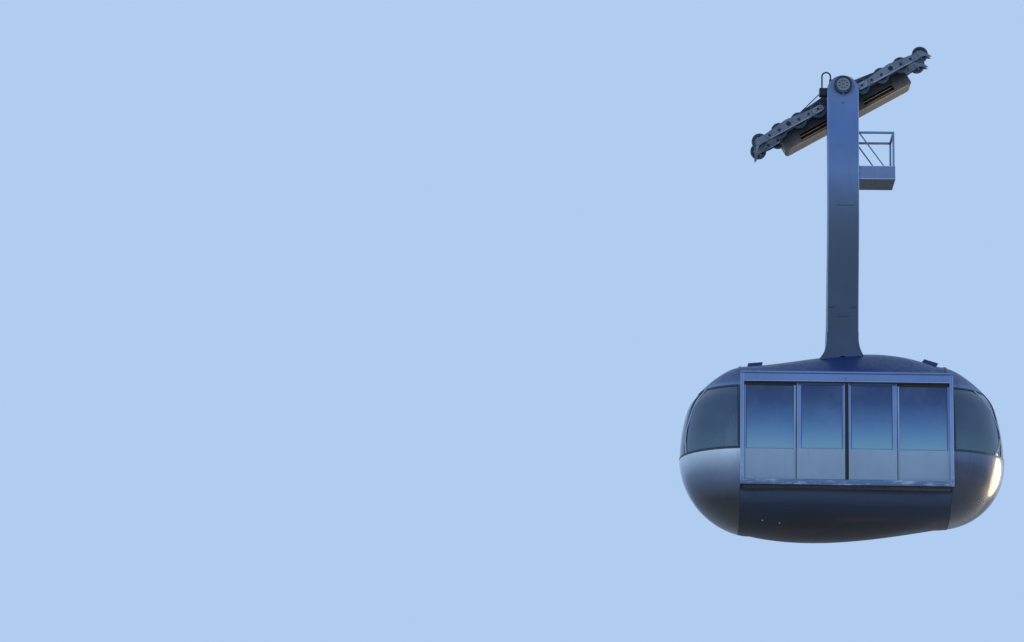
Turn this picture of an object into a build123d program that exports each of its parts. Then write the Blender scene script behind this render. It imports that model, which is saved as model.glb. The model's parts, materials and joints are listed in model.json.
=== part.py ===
"""Aerial tramway cabin: an egg-shaped cabin on one side arm, hung from a sixteen-roller carriage.

Millimetres. X runs along the ropes (+X is the uphill side), Y across them (the arm is on the -Y
side) and Z is up. The origin is midway between the two track ropes, where the rollers bear on them,
straight below the hanger pin. The carriage is stored on its inclined rope, the cabin plumb.
"""
import os
from math import cos, radians, sin, tan

from build123d import *

os.makedirs("parts", exist_ok=True)

# Carriage. u runs up along the rope from the middle of the carriage, and v is square to it.
ROPE_SLOPE = 30.0
MIDDLE_U = 50.0
LANE_Y = 400.0
ROLLER_RADIUS = 190.0
TREAD_RADIUS = 165.0
ROLLER_WIDTH = 90.0
GROOVE_RADIUS = 27.0
ROLLER_HOLES = 12
ROLLER_HOLE_RADIUS = 15.0
ROLLER_HOLE_CIRCLE = 100.0
HUB_RADIUS = 62.0
WEB_THICKNESS = 26.0
INNER_ROLLER_U = 595.0
ROLLER_PITCH = 530.0
ROLLERS_PER_SIDE = 4
AXLE_RADIUS = 30.0
FIT_GAP = 0.3
RUNNING_GAP = 0.05
SIDE_GAP = 8.0
ROCKER_THICKNESS = 16.0
ROCKER_HEIGHT = 170.0
ROCKER_CORNER = 45.0
BALANCE_THICKNESS = 22.0
BALANCE_BOSS_RADIUS = 120.0
BALANCE_END_RADIUS = 88.0
ACCESS_HOLE_RADIUS = 46.0
PIVOT_RISE = 30.0
ROCKER_PIN_RADIUS = 34.0
MAIN_PIN_RADIUS = 55.0
PIN_STICK_OUT = 14.0
GUIDE_THICKNESS = 14.0
GUIDE_OUTLINE = (
    # u past the end roller's axle, v
    (-60.0, 235.0),
    (70.0, 225.0),
    (165.0, 70.0),
    (205.0, -25.0),
    (150.0, -5.0),
    (60.0, 75.0),
    (-60.0, 90.0),
)

# Girder: a plated box between the two rope lanes, with the haul rope sockets in its ends
GIRDER_HALF_WIDTH = 262.0
GIRDER_PLATE = 25.0
GIRDER_OUTLINE = (
    # u, v
    (-1700.0, -320.0),
    (1700.0, -320.0),
    (1700.0, -60.0),
    (1560.0, 300.0),
    (450.0, 435.0),
    (-280.0, 435.0),
    (-1560.0, 300.0),
    (-1700.0, -60.0),
)
GIRDER_FILLET = 60.0
WINDOW_MIDDLE_U = 860.0
WINDOW_MIDDLE_V = -195.0
WINDOW_LENGTH = 820.0
WINDOW_HEIGHT = 160.0
PIVOT_TUBE_RADIUS = 95.0
HAUL_ROPE_V = -195.0
SOCKET_RADIUS = 26.0
SOCKET_DEPTH = 260.0
SOCKET_TUBE_RADIUS = 78.0
SOCKET_TUBE_LENGTH = 1200.0

# Hanger pin and arm
PIN_Z = 310.0
PIN_RADIUS = 110.0
BEARING_RADIUS = 190.0
BEARING_END_Y = -560.0
FLANGE_RADIUS = 198.0
FLANGE_THICKNESS = 120.0
KEEPER_RADIUS = 160.0
KEEPER_THICKNESS = 30.0
KEEPER_GAP = 6.0
ARM_HALF_WIDTH = 365.0
ARM_SHOULDER_Z = 265.0
ARM_TOP_Z = 565.0
ARM_NEAR_Y = -920.0
ARM_FAR_Y = -620.0
FOOT_NEAR_Y = -500.0
FOOT_FAR_Y = 380.0
FOOT_HALF_WIDTH = 595.0
FOOT_TOP_Z = -5700.0
FOOT_SOLE_Z = -6240.0
ARM_BEND_Z = -2950.0
ARM_FOOT_Z = -5250.0
ARM_SHIN_FAR_Y = -60.0
FOOT_TOE_Z = -5900.0
ARM_BEND_RADIUS = 5600.0
NOTCH_RADIUS = 105.0
NOTCH_Z = -6215.0

# Junction box on the downhill side of the arm's head, and the hose that loops into the head
BOX_DEPTH = 185.0
BOX_LOW_Z = 90.0
BOX_HIGH_Z = 265.0
BOX_NEAR_Y = -880.0
BOX_FAR_Y = -680.0
HOSE_RADIUS = 18.0
HOSE_BEND_RADIUS = 100.0
HOSE_TOP_Z = 575.0
HOSE_X = -485.0
GLAND_RADIUS = 32.0
GLAND_TOP_Z = 500.0

# Work platform on the uphill side of the arm
PLATFORM_END_X = 1210.0
PLATFORM_NEAR_Y = -870.0
PLATFORM_FAR_Y = 60.0
PLATFORM_FLOOR_Z = -1955.0
PLATFORM_EDGE_Z = -1630.0
PLATFORM_RAIL_Z = -790.0
PLATFORM_SHEET = 12.0
RAIL_SIZE = 45.0
BRACE_WIDTH = 42.0
BRACE_THICKNESS = 12.0

# Hull. Half of each cross-section is a chain of tangent arcs from the crown to the keel, each
# with its radius and the angle its outward normal has reached, from straight up, at its end.
# The last arc is centred on the upright middle line and closes the chain.
CROWN_END_ANGLE = 34.0
SHOULDER_ARCS = (
    # radius, end angle
    (3000.0, 52.0),
    (850.0, 74.0),
)
SIDE_END_ANGLE = 90.0
BILGE_END_ANGLE = 160.0
KEEL_ANGLE = 180.0
HULL_ENDS_X = 2130.0
HULL_STATIONS = (
    # x, crown z, radii of the crown, the side and the bilge
    (-HULL_ENDS_X, -6305.0, 1170.0, 3740.0, 1855.0),
    (-700.0, -6115.0, 1210.0, 4415.0, 2005.0),
    (800.0, -5990.0, 1130.0, 4370.0, 2055.0),
    (HULL_ENDS_X, -6260.0, 1060.0, 4320.0, 1490.0),
)
HULL_WALL = 60.0
RIB_WIDTH = 60.0
RIB_HEIGHT = 20.0

# Storeys of the cabin
FLOOR_Z = -9250.0
FLOOR_THICKNESS = 60.0
SILL_BOTTOM_Z = -9370.0
GLAZING_BOTTOM_Z = -8540.0
GLAZING_TOP_Z = -6950.0
HEADER_BOTTOM_Z = -6990.0
GUTTER_Z = -6760.0
GUTTER_LIP = 22.0
GUTTER_DEPTH = 35.0

# Door portal in each side
PORTAL_HALF_LENGTH = 2405.0
PORTAL_POST = 80.0
PORTAL_Y = 1700.0
PORTAL_RECESS = 12.0
FIXED_PANEL_INNER_X = 1090.0
FIXED_PANEL_THICKNESS = 45.0
WINDOW_BORDER = 50.0
GLASS_THICKNESS = 12.0

# Sliding door leaves
LEAF_INNER_X = 42.0
LEAF_OUTER_X = 1130.0
LEAF_THICKNESS = 45.0
LEAF_TRAVEL = 1040.0
LEAF_CLEARANCE = 8.0
LEAF_MEETING_STILE = 55.0
LEAF_TRAILING_STILE = 100.0
TRACK_HEIGHT = 30.0
TRACK_THICKNESS = 14.0

# End glazing: a windscreen between two corner panes
WINDSCREEN_HALF_ANGLE = 22.0
MULLION_HALF_ANGLE = 1.4
GLAZING_RAIL = 45.0
END_GLASS_INSET = 14.0

# Roof vents: low boxes on the crown, pitched along the roof
VENT_LENGTH = 340.0
VENT_WIDTH = 300.0
VENT_HEIGHT = 75.0
VENT_LEAN = 60.0
VENTS = (
    # x, crown z there, pitch up towards +x in degrees
    (-2060.0, -6300.0, 5.0),
    (1990.0, -6192.0, -17.0),
)

# Inside
POLE_RADIUS = 20.0
POLE_X = 1350.0
POLE_Y = 450.0
RAIL_ABOVE_FLOOR = 2050.0


UPHILL = Vector(cos(radians(ROPE_SLOPE)), 0, sin(radians(ROPE_SLOPE)))
OFF_ROPE = Vector(-sin(radians(ROPE_SLOPE)), 0, cos(radians(ROPE_SLOPE)))


def on_rope(u, v, y=0.0):
    """Point at u along the rope from the middle of the carriage and v square to it."""
    return UPHILL * (MIDDLE_U + u) + OFF_ROPE * v + Vector(0, y, 0)


def rope_side(y):
    """Plane in the rope's own u and v directions, facing the near side, at this Y."""
    return Plane(origin=on_rope(0, 0, y), x_dir=UPHILL, z_dir=(0, -1, 0))


def finish(part, name):
    """Label one sub-part and write it."""
    part.label = name
    export_step(part, f"parts/{name}.step")


PIN_U = PIN_Z * sin(radians(ROPE_SLOPE)) - MIDDLE_U
PIN_V = PIN_Z * cos(radians(ROPE_SLOPE))
ROLLER_U = [INNER_ROLLER_U + ROLLER_PITCH * i for i in range(ROLLERS_PER_SIDE)]
ROLLER_STATIONS = [-u for u in reversed(ROLLER_U)] + ROLLER_U
ROCKER_U = [(ROLLER_U[i] + ROLLER_U[i + 1]) / 2 for i in (0, 2)]
MAIN_PIVOT_U = sum(ROCKER_U) / len(ROCKER_U)
MAIN_PIVOT_V = TREAD_RADIUS + PIVOT_RISE
ROCKER_FACE = ROLLER_WIDTH / 2 + SIDE_GAP
BALANCE_FACE = ROCKER_FACE + ROCKER_THICKNESS
LANE_OUTER = BALANCE_FACE + BALANCE_THICKNESS
LANES = {"near": -LANE_Y, "far": LANE_Y}

# Rollers, each a grooved wheel on its own axle
for lane, lane_y in LANES.items():
    for number, station in enumerate(ROLLER_STATIONS, 1):
        centre = on_rope(station, TREAD_RADIUS, lane_y)
        with BuildPart() as roller:
            with BuildSketch(Plane(origin=centre, x_dir=(1, 0, 0), z_dir=(0, 0, 1))):
                with BuildLine():
                    Polyline(
                        (AXLE_RADIUS + FIT_GAP, -ROLLER_WIDTH / 2),
                        (HUB_RADIUS, -ROLLER_WIDTH / 2),
                        (HUB_RADIUS, -WEB_THICKNESS / 2),
                        (TREAD_RADIUS - GROOVE_RADIUS, -WEB_THICKNESS / 2),
                        (TREAD_RADIUS - GROOVE_RADIUS, -ROLLER_WIDTH / 2),
                        (ROLLER_RADIUS, -ROLLER_WIDTH / 2),
                        (ROLLER_RADIUS, -GROOVE_RADIUS),
                        (TREAD_RADIUS, 0),
                        (ROLLER_RADIUS, GROOVE_RADIUS),
                        (ROLLER_RADIUS, ROLLER_WIDTH / 2),
                        (TREAD_RADIUS - GROOVE_RADIUS, ROLLER_WIDTH / 2),
                        (TREAD_RADIUS - GROOVE_RADIUS, WEB_THICKNESS / 2),
                        (HUB_RADIUS, WEB_THICKNESS / 2),
                        (HUB_RADIUS, ROLLER_WIDTH / 2),
                        (AXLE_RADIUS + FIT_GAP, ROLLER_WIDTH / 2),
                        close=True,
                    )
                make_face()
            revolve(axis=Axis(centre, (0, 1, 0)))
            with BuildSketch(Plane(origin=centre, x_dir=(1, 0, 0), z_dir=(0, -1, 0))):
                with PolarLocations(ROLLER_HOLE_CIRCLE, ROLLER_HOLES):
                    RegularPolygon(ROLLER_HOLE_RADIUS, 6)
            extrude(amount=WEB_THICKNESS / 2, both=True, mode=Mode.SUBTRACT)
        finish(roller.part, f"roller_{lane}_{number}")

# Two-roller rockers: a plate on each face of every pair of rollers
with BuildPart() as rockers:
    for lane_y in LANES.values():
        for face in (-1, 1):
            plate_y = lane_y + face * (ROCKER_FACE + ROCKER_THICKNESS / 2)
            with BuildSketch(rope_side(plate_y)):
                for end in (-1, 1):
                    for middle in ROCKER_U:
                        with Locations((end * middle, TREAD_RADIUS)):
                            RectangleRounded(ROLLER_PITCH + ROCKER_HEIGHT, ROCKER_HEIGHT, ROCKER_CORNER)
                            Circle(ROCKER_PIN_RADIUS + FIT_GAP, mode=Mode.SUBTRACT)
                        for roller_u in (middle - ROLLER_PITCH / 2, middle + ROLLER_PITCH / 2):
                            with Locations((end * roller_u, TREAD_RADIUS)):
                                Circle(AXLE_RADIUS + FIT_GAP, mode=Mode.SUBTRACT)
            extrude(amount=ROCKER_THICKNESS / 2, both=True)
finish(rockers.part, "rockers")

# Four-roller balance beams: a plate outside each pair of rockers, deepest at the main pivot,
# with a hole over the end of each axle that it would cover
with BuildPart() as balance_beams:
    for lane_y in LANES.values():
        for face in (-1, 1):
            plate_y = lane_y + face * (BALANCE_FACE + BALANCE_THICKNESS / 2)
            for end in (-1, 1):
                with BuildSketch(rope_side(plate_y)):
                    with Locations((end * MAIN_PIVOT_U, MAIN_PIVOT_V)):
                        Circle(BALANCE_BOSS_RADIUS)
                    with Locations([(end * middle, TREAD_RADIUS) for middle in ROCKER_U]):
                        Circle(BALANCE_END_RADIUS)
                    make_hull()
                    with Locations((end * MAIN_PIVOT_U, MAIN_PIVOT_V)):
                        Circle(MAIN_PIN_RADIUS + FIT_GAP, mode=Mode.SUBTRACT)
                    with Locations([(end * roller_u, TREAD_RADIUS) for roller_u in ROLLER_U[1:-1]]):
                        Circle(ACCESS_HOLE_RADIUS, mode=Mode.SUBTRACT)
                    with Locations([(end * middle, TREAD_RADIUS) for middle in ROCKER_U]):
                        Circle(ROCKER_PIN_RADIUS + FIT_GAP, mode=Mode.SUBTRACT)
                extrude(amount=BALANCE_THICKNESS / 2, both=True)
finish(balance_beams.part, "balance_beams")

# Rope guides: pointed cheeks that reach past the end rollers on each side of the rope
with BuildPart() as rope_guides:
    for lane_y in LANES.values():
        for face in (-1, 1):
            with BuildSketch(rope_side(lane_y + face * (BALANCE_FACE + GUIDE_THICKNESS / 2))):
                for end in (-1, 1):
                    Polygon(*[(end * (ROLLER_U[-1] + u), v) for u, v in GUIDE_OUTLINE], align=None)
            extrude(amount=GUIDE_THICKNESS / 2, both=True)
finish(rope_guides.part, "rope_guides")

# Axles of the rollers and pins of the rockers, through both plates of a lane
with BuildPart() as axles:
    for lane_y in LANES.values():
        with BuildSketch(rope_side(lane_y)):
            with Locations([(station, TREAD_RADIUS) for station in ROLLER_STATIONS]):
                Circle(AXLE_RADIUS)
        extrude(amount=BALANCE_FACE, both=True)
        with BuildSketch(rope_side(lane_y)):
            with Locations([(end * u, TREAD_RADIUS) for end in (-1, 1) for u in ROCKER_U]):
                Circle(ROCKER_PIN_RADIUS)
        extrude(amount=LANE_OUTER, both=True)
finish(axles.part, "axles")

# Main pivots: one shaft through the girder at each end, out to the outer balance plates
with BuildPart() as main_pivots:
    with BuildSketch(rope_side(0)):
        with Locations([(end * MAIN_PIVOT_U, MAIN_PIVOT_V) for end in (-1, 1)]):
            Circle(MAIN_PIN_RADIUS)
    extrude(amount=LANE_Y + LANE_OUTER + PIN_STICK_OUT, both=True)
finish(main_pivots.part, "main_pivots")

# Girder: a plated box that rises to the hanger pin's bearing, open through windows low in its sides
with BuildPart() as girder:
    with BuildSketch(rope_side(0)) as girder_side:
        Polygon(*GIRDER_OUTLINE, align=None)
        fillet(girder_side.vertices(), GIRDER_FILLET)
    extrude(amount=GIRDER_HALF_WIDTH, both=True)
    with BuildSketch(rope_side(0)) as girder_hollow:
        Polygon(*GIRDER_OUTLINE, align=None)
        offset(amount=-GIRDER_PLATE, kind=Kind.INTERSECTION, mode=Mode.REPLACE)
        fillet(girder_hollow.vertices(), GIRDER_FILLET - GIRDER_PLATE)
    extrude(amount=GIRDER_HALF_WIDTH - GIRDER_PLATE, both=True, mode=Mode.SUBTRACT)
    with BuildSketch(rope_side(0)):
        with Locations([(end * WINDOW_MIDDLE_U, WINDOW_MIDDLE_V) for end in (-1, 1)]):
            RectangleRounded(WINDOW_LENGTH, WINDOW_HEIGHT, GIRDER_FILLET)
    extrude(amount=GIRDER_HALF_WIDTH, both=True, mode=Mode.SUBTRACT)
    with BuildSketch(rope_side(BEARING_END_Y)):
        with Locations((PIN_U, PIN_V)):
            Circle(BEARING_RADIUS)
    extrude(amount=BEARING_END_Y - GIRDER_HALF_WIDTH)
    with BuildSketch(rope_side(0)):
        with Locations([(end * MAIN_PIVOT_U, MAIN_PIVOT_V) for end in (-1, 1)]):
            Circle(PIVOT_TUBE_RADIUS)
    extrude(amount=GIRDER_HALF_WIDTH, both=True)
    for end in (-1, 1):
        mouth = on_rope(end * GIRDER_OUTLINE[1][0], HAUL_ROPE_V)
        with BuildSketch(Plane(origin=mouth, x_dir=(0, 1, 0), z_dir=UPHILL * -end)):
            Circle(SOCKET_TUBE_RADIUS)
        extrude(amount=SOCKET_TUBE_LENGTH)
        with BuildSketch(Plane(origin=mouth, x_dir=(0, 1, 0), z_dir=UPHILL * -end)):
            Circle(SOCKET_RADIUS)
        extrude(amount=SOCKET_DEPTH, mode=Mode.SUBTRACT)
    with BuildSketch(rope_side(0)):
        with Locations((PIN_U, PIN_V)):
            Circle(PIN_RADIUS + RUNNING_GAP)
    extrude(amount=-BEARING_END_Y, both=True, mode=Mode.SUBTRACT)
    with BuildSketch(rope_side(0)):
        with Locations([(end * MAIN_PIVOT_U, MAIN_PIVOT_V) for end in (-1, 1)]):
            Circle(MAIN_PIN_RADIUS + FIT_GAP)
    extrude(amount=GIRDER_HALF_WIDTH, both=True, mode=Mode.SUBTRACT)
finish(girder.part, "girder")

# Hanger pin with the bolted flange that holds it in the arm's head, and a keeper at its far end
with BuildPart() as hanger_pin:
    with BuildSketch(rope_side(ARM_NEAR_Y)):
        with Locations((PIN_U, PIN_V)):
            Circle(FLANGE_RADIUS)
    extrude(amount=FLANGE_THICKNESS)
    chamfer(hanger_pin.faces().sort_by(Axis.Y)[0].edges(), FLANGE_THICKNESS / 8)
    with BuildSketch(rope_side(ARM_NEAR_Y)):
        with Locations((PIN_U, PIN_V)):
            Circle(PIN_RADIUS)
    extrude(amount=ARM_NEAR_Y - GIRDER_HALF_WIDTH - KEEPER_GAP)
    with BuildSketch(rope_side(GIRDER_HALF_WIDTH + KEEPER_GAP)):
        with Locations((PIN_U, PIN_V)):
            Circle(KEEPER_RADIUS)
    extrude(amount=-KEEPER_THICKNESS)
finish(hanger_pin.part, "hanger_pin")


def section_arcs(crown_z, crown_radius, side_radius, bilge_radius, inset):
    """Arcs of half a cross-section, this far inside its skin, each as its two ends and its middle."""
    rows = [(crown_radius - inset, CROWN_END_ANGLE)]
    rows += [(radius - inset, angle) for radius, angle in SHOULDER_ARCS]
    rows.append((side_radius - inset, SIDE_END_ANGLE))
    rows.append((bilge_radius - inset, BILGE_END_ANGLE))
    arcs = []
    out, up, start = 0.0, crown_z - inset, 0.0
    for row in range(len(rows) + 1):
        if row < len(rows):
            radius, end = rows[row]
        else:
            radius, end = out / sin(radians(start)), KEEL_ANGLE
        centre_y = out - radius * sin(radians(start))
        centre_z = up - radius * cos(radians(start))
        points = [
            (-centre_y - radius * sin(radians(angle)), centre_z + radius * cos(radians(angle)))
            for angle in (start, (start + end) / 2, end)
        ]
        arcs.append(points)
        out, up, start = -points[-1][0], points[-1][1], end
    return arcs


def half_section(station, inset):
    """Near half of the hull's cross-section at one station, as a face."""
    x, *shape = station
    arcs = section_arcs(*shape, inset)
    with BuildSketch(Plane.YZ.offset(x)) as section:
        with BuildLine():
            for points in arcs:
                ThreePointArc(*points)
            Line(arcs[-1][-1], arcs[0][0])
        make_face()
    return section.sketch


def hull_end(station, inset):
    """Round end of the hull: half a turn of the end station's section about its upright middle line."""
    x = station[0]
    with BuildPart() as end:
        add(half_section(station, inset))
        revolve(axis=Axis((x, 0, 0), (0, 0, 1)), revolution_arc=180 if x > 0 else -180)
    return end.part


def hull_solid(inset):
    """The whole hull as one closed form, this far inside its skin."""
    with BuildPart() as hull:
        for station in HULL_STATIONS:
            add(half_section(station, inset))
        loft()
        mirror(about=Plane.XZ)
        add(hull_end(HULL_STATIONS[0], inset))
        add(hull_end(HULL_STATIONS[-1], inset))
    return hull.part


HULL_TOP_Z = max(crown_z for _, crown_z, *_ in HULL_STATIONS)
HULL_SKIN = hull_solid(0)
HULL_INSIDE = hull_solid(HULL_WALL)
REACH = 4500.0


def block(x_low, x_high, y_low, y_high, z_low, z_high, mode=Mode.ADD):
    """Box between two corners."""
    with Locations(((x_low + x_high) / 2, (y_low + y_high) / 2, (z_low + z_high) / 2)):
        Box(x_high - x_low, y_high - y_low, z_high - z_low, mode=mode)


# Arm: an upright box with a round head, bent inwards below and flared into a foot on the roof
with BuildPart() as arm:
    with BuildSketch(Plane.XZ):
        with BuildLine():
            head = ThreePointArc((-ARM_HALF_WIDTH, ARM_SHOULDER_Z), (0, ARM_TOP_Z), (ARM_HALF_WIDTH, ARM_SHOULDER_Z))
            Line(head @ 1, (ARM_HALF_WIDTH, FOOT_TOP_Z))
            TangentArc((ARM_HALF_WIDTH, FOOT_TOP_Z), (FOOT_HALF_WIDTH, FOOT_SOLE_Z), tangent=(0, -1))
            Line((FOOT_HALF_WIDTH, FOOT_SOLE_Z), (-FOOT_HALF_WIDTH, FOOT_SOLE_Z))
            TangentArc((-ARM_HALF_WIDTH, FOOT_TOP_Z), (-FOOT_HALF_WIDTH, FOOT_SOLE_Z), tangent=(0, -1))
            Line((-ARM_HALF_WIDTH, FOOT_TOP_Z), head @ 0)
        make_face()
        with Locations((0, PIN_Z)):
            Circle(PIN_RADIUS + FIT_GAP, mode=Mode.SUBTRACT)
        with Locations((0, NOTCH_Z)):
            Circle(NOTCH_RADIUS, mode=Mode.SUBTRACT)
    extrude(amount=-ARM_NEAR_Y, both=True)
    with BuildSketch(Plane.YZ):
        with BuildLine():
            near_side = FilletPolyline(
                (ARM_NEAR_Y, ARM_TOP_Z),
                (ARM_NEAR_Y, ARM_BEND_Z),
                (FOOT_NEAR_Y, ARM_FOOT_Z),
                (FOOT_NEAR_Y, FOOT_SOLE_Z),
                radius=ARM_BEND_RADIUS,
            )
            far_side = FilletPolyline(
                (FOOT_FAR_Y, FOOT_SOLE_Z),
                (FOOT_FAR_Y, FOOT_TOE_Z),
                (ARM_SHIN_FAR_Y, ARM_FOOT_Z),
                (ARM_FAR_Y, ARM_BEND_Z),
                (ARM_FAR_Y, ARM_TOP_Z),
                radius=(KEEPER_RADIUS, ARM_HALF_WIDTH, ARM_BEND_RADIUS),
            )
            Line(near_side @ 1, far_side @ 0)
            Line(far_side @ 1, near_side @ 0)
        make_face()
    extrude(amount=FOOT_HALF_WIDTH, both=True, mode=Mode.INTERSECT)
    add(HULL_SKIN, mode=Mode.SUBTRACT)
finish(arm.part, "arm")

# Junction box and hose on the arm's head
with BuildPart() as junction_box:
    block(-ARM_HALF_WIDTH - BOX_DEPTH, -ARM_HALF_WIDTH, BOX_NEAR_Y, BOX_FAR_Y, BOX_LOW_Z, BOX_HIGH_Z)
finish(junction_box.part, "junction_box")

HOSE_Y = (BOX_NEAR_Y + BOX_FAR_Y) / 2
HOSE_END_X = HOSE_X + 2 * HOSE_BEND_RADIUS
with BuildPart() as hose:
    with BuildLine(Plane.XZ.offset(-HOSE_Y)) as route:
        Line((HOSE_X, BOX_HIGH_Z), (HOSE_X, HOSE_TOP_Z))
        ThreePointArc(
            (HOSE_X, HOSE_TOP_Z),
            (HOSE_X + HOSE_BEND_RADIUS, HOSE_TOP_Z + HOSE_BEND_RADIUS),
            (HOSE_END_X, HOSE_TOP_Z),
        )
        Line((HOSE_END_X, HOSE_TOP_Z), (HOSE_END_X, GLAND_TOP_Z))
    with BuildSketch(Plane(origin=(HOSE_X, HOSE_Y, BOX_HIGH_Z), z_dir=(0, 0, 1))):
        Circle(HOSE_RADIUS)
    sweep(path=route.wire())
finish(hose.part, "head_hose")

with BuildPart() as gland:
    with BuildSketch(Plane.XY.offset(PIN_Z)):
        with Locations((HOSE_END_X, HOSE_Y)):
            Circle(GLAND_RADIUS)
    extrude(amount=GLAND_TOP_Z - PIN_Z)
    add(arm.part, mode=Mode.SUBTRACT)
finish(gland.part, "hose_gland")

# Work platform: a sheet tray with a railing
with BuildPart() as platform:
    block(ARM_HALF_WIDTH, PLATFORM_END_X, PLATFORM_NEAR_Y, PLATFORM_FAR_Y, PLATFORM_FLOOR_Z, PLATFORM_EDGE_Z)
    block(
        ARM_HALF_WIDTH + PLATFORM_SHEET,
        PLATFORM_END_X - PLATFORM_SHEET,
        PLATFORM_NEAR_Y + PLATFORM_SHEET,
        PLATFORM_FAR_Y - PLATFORM_SHEET,
        PLATFORM_FLOOR_Z + PLATFORM_SHEET,
        PLATFORM_EDGE_Z,
        Mode.SUBTRACT,
    )
finish(platform.part, "platform_tray")

RAIL_INSET = RAIL_SIZE + PLATFORM_SHEET
with BuildPart() as railing:
    for post_y in (PLATFORM_NEAR_Y + PLATFORM_SHEET, PLATFORM_FAR_Y - RAIL_INSET):
        block(
            PLATFORM_END_X - RAIL_INSET,
            PLATFORM_END_X - PLATFORM_SHEET,
            post_y,
            post_y + RAIL_SIZE,
            PLATFORM_FLOOR_Z + PLATFORM_SHEET,
            PLATFORM_RAIL_Z,
        )
        block(
            ARM_HALF_WIDTH,
            PLATFORM_END_X - PLATFORM_SHEET,
            post_y,
            post_y + RAIL_SIZE,
            PLATFORM_RAIL_Z - RAIL_SIZE,
            PLATFORM_RAIL_Z,
        )
    block(
        PLATFORM_END_X - RAIL_INSET,
        PLATFORM_END_X - PLATFORM_SHEET,
        PLATFORM_NEAR_Y + PLATFORM_SHEET,
        PLATFORM_FAR_Y - PLATFORM_SHEET,
        PLATFORM_RAIL_Z - RAIL_SIZE,
        PLATFORM_RAIL_Z,
    )
    for brace_y in (PLATFORM_NEAR_Y + PLATFORM_SHEET, PLATFORM_FAR_Y - PLATFORM_SHEET - BRACE_THICKNESS):
        with BuildSketch(Plane.XZ.offset(-brace_y)):
            Polygon(
                (ARM_HALF_WIDTH, PLATFORM_RAIL_Z - RAIL_SIZE),
                (ARM_HALF_WIDTH + BRACE_WIDTH, PLATFORM_RAIL_Z - RAIL_SIZE),
                (PLATFORM_END_X - RAIL_INSET, PLATFORM_FLOOR_Z + PLATFORM_SHEET + BRACE_WIDTH),
                (PLATFORM_END_X - RAIL_INSET, PLATFORM_FLOOR_Z + PLATFORM_SHEET),
                align=None,
            )
        extrude(amount=-BRACE_THICKNESS)
finish(railing.part, "platform_railing")

# Roof, split where the portal's edge planes cross it, with a raised rib along each split
with BuildPart() as roof_centre:
    add(hull_solid(-RIB_HEIGHT))
    with BuildSketch(Plane.XY.offset(GUTTER_Z)):
        with Locations([(end * (PORTAL_HALF_LENGTH - RIB_WIDTH / 2), 0) for end in (-1, 1)]):
            Rectangle(RIB_WIDTH, 2 * REACH)
    extrude(amount=REACH, mode=Mode.INTERSECT)
    add(HULL_SKIN)
    add(HULL_INSIDE, mode=Mode.SUBTRACT)
    block(-PORTAL_HALF_LENGTH, PORTAL_HALF_LENGTH, -REACH, REACH, GUTTER_Z, 0, Mode.INTERSECT)
finish(roof_centre.part, "roof_centre")

with BuildPart() as vents:
    for vent_x, crown_z, pitch in VENTS:
        place = Plane(origin=(vent_x, 0, crown_z)).rotated((0, -pitch, 0))
        with BuildSketch(place.offset(-VENT_HEIGHT)):
            Rectangle(VENT_LENGTH, VENT_WIDTH)
        with BuildSketch(place.offset(VENT_HEIGHT)):
            with Locations((VENT_LEAN, 0)):
                Rectangle(VENT_LENGTH, VENT_WIDTH)
        loft()
    add(HULL_SKIN, mode=Mode.SUBTRACT)
finish(vents.part, "roof_vents")

# Belly under the floor between the portals
with BuildPart() as belly_centre:
    add(HULL_SKIN)
    add(HULL_INSIDE, mode=Mode.SUBTRACT)
    block(-PORTAL_HALF_LENGTH, PORTAL_HALF_LENGTH, -REACH, REACH, -3 * REACH, SILL_BOTTOM_Z, Mode.INTERSECT)
finish(belly_centre.part, "belly_centre")

with BuildPart() as floor:
    add(HULL_INSIDE)
    block(-REACH, REACH, -REACH, REACH, FLOOR_Z - FLOOR_THICKNESS, FLOOR_Z, Mode.INTERSECT)
finish(floor.part, "floor")


def pane_regions(end, border):
    """Plan outlines of the three end panes, which start this far from the portal post."""
    edge_x = PORTAL_HALF_LENGTH + border
    wide = tan(radians(WINDSCREEN_HALF_ANGLE + MULLION_HALF_ANGLE))
    narrow = tan(radians(WINDSCREEN_HALF_ANGLE - MULLION_HALF_ANGLE))
    far = REACH - HULL_ENDS_X
    outlines = [[(end * HULL_ENDS_X, 0), (end * REACH, far * narrow), (end * REACH, -far * narrow)]]
    for side in (-1, 1):
        outlines.append(
            [
                (end * edge_x, side * (edge_x - HULL_ENDS_X) * wide),
                (end * REACH, side * far * wide),
                (end * REACH, side * far),
                (end * edge_x, side * far),
            ]
        )
    return outlines


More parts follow.
